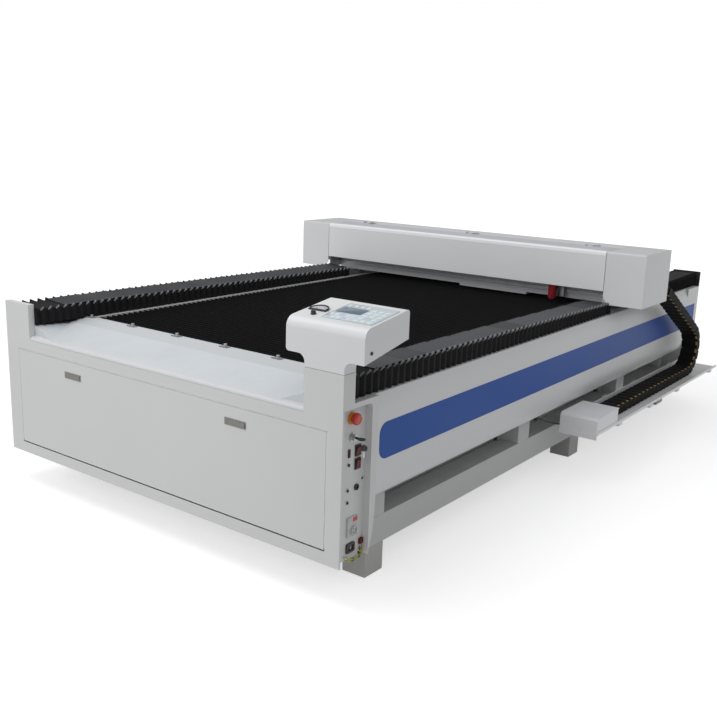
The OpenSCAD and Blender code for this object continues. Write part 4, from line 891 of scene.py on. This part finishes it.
# Edge strips. Narrow grey sheets are screwed to the backs of the inner panels
# and close the gaps that the panels leave beside the uprights.
def panel_strips():
    bm = bmesh.new()
    thick, bottom, top = 2.5, 214, 497
    for x in (189.0, 1608.5):
        for y0, y1 in ((1304, 1355), (2420, 2471.5), (3104, 3309.5)):
            add_block(bm, (x, y0, bottom), (x + thick, y1, top), in_mm)
    set_piece("panel_strips", bm, (panel_coat,), "base")


panel_strips()


# Studio. A pale floor that stays white to the camera and still takes the machine's soft shadow,
# under one soft light over the bed, one in front and an even surround.
def studio():
    bm = bmesh.new()
    bmesh.ops.create_grid(bm, x_segments=1, y_segments=1, size=40.0)
    mesh = bpy.data.meshes.new("studio_floor")
    bm.to_mesh(mesh)
    bm.free()
    floor = bpy.data.objects.new("studio_floor", mesh)
    bpy.context.scene.collection.objects.link(floor)
    material = bpy.data.materials.new("studio_floor")
    material.use_nodes = True
    tree = material.node_tree
    shader = tree.nodes["Principled BSDF"]
    shader.inputs["Base Color"].default_value = (0.72, 0.72, 0.72, 1.0)
    shader.inputs["Roughness"].default_value = 0.9
    path = tree.nodes.new("ShaderNodeLightPath")
    seen = math_of(tree, "MAXIMUM", path.outputs["Is Camera Ray"], math_of(
        tree, "MAXIMUM", path.outputs["Is Glossy Ray"], path.outputs["Is Transmission Ray"]))
    reach = tree.nodes.new("ShaderNodeVectorMath")
    reach.operation = "LENGTH"
    tree.links.new(object_coords(tree), reach.inputs[0])
    far = ramp(tree, reach.outputs["Value"], 2.0, 9.0)
    shader.inputs["Emission Color"].default_value = (1.0, 1.0, 1.0, 1.0)
    lift = math_of(tree, "MULTIPLY_ADD", far, 0.25, 0.58)
    tree.links.new(math_of(tree, "MULTIPLY", lift, seen), shader.inputs["Emission Strength"])
    mesh.materials.append(material)
    world = bpy.data.worlds.new("studio_surround")
    bpy.context.scene.world = world
    world.use_nodes = True
    tree = world.node_tree
    surround = tree.nodes["Background"]
    surround.inputs["Color"].default_value = (1.0, 1.0, 1.0, 1.0)
    path = tree.nodes.new("ShaderNodeLightPath")
    seen = math_of(tree, "MAXIMUM", path.outputs["Is Camera Ray"], path.outputs["Is Transmission Ray"])
    tree.links.new(math_of(tree, "MULTIPLY_ADD", seen, 0.49, 0.51), surround.inputs["Strength"])
    for name, place, aim, size, power in (
        ("over_bed", (-0.5, -2.0, 3.2), (0.1, 0.4, 0.85), 2.2, 42.0),
        ("front", (-1.5, -6.5, 3.0), (0.0, -0.5, 0.7), 3.0, 58.0),
    ):
        light = bpy.data.lights.new(name, "AREA")
        light.size = size
        light.energy = power
        lamp = bpy.data.objects.new(name, light)
        bpy.context.scene.collection.objects.link(lamp)
        lamp.location = place
        lamp.rotation_euler = (Vector(aim) - Vector(place)).to_track_quat("-Z", "Y").to_euler()


studio()
bpy.context.scene.view_settings.view_transform = "Standard"
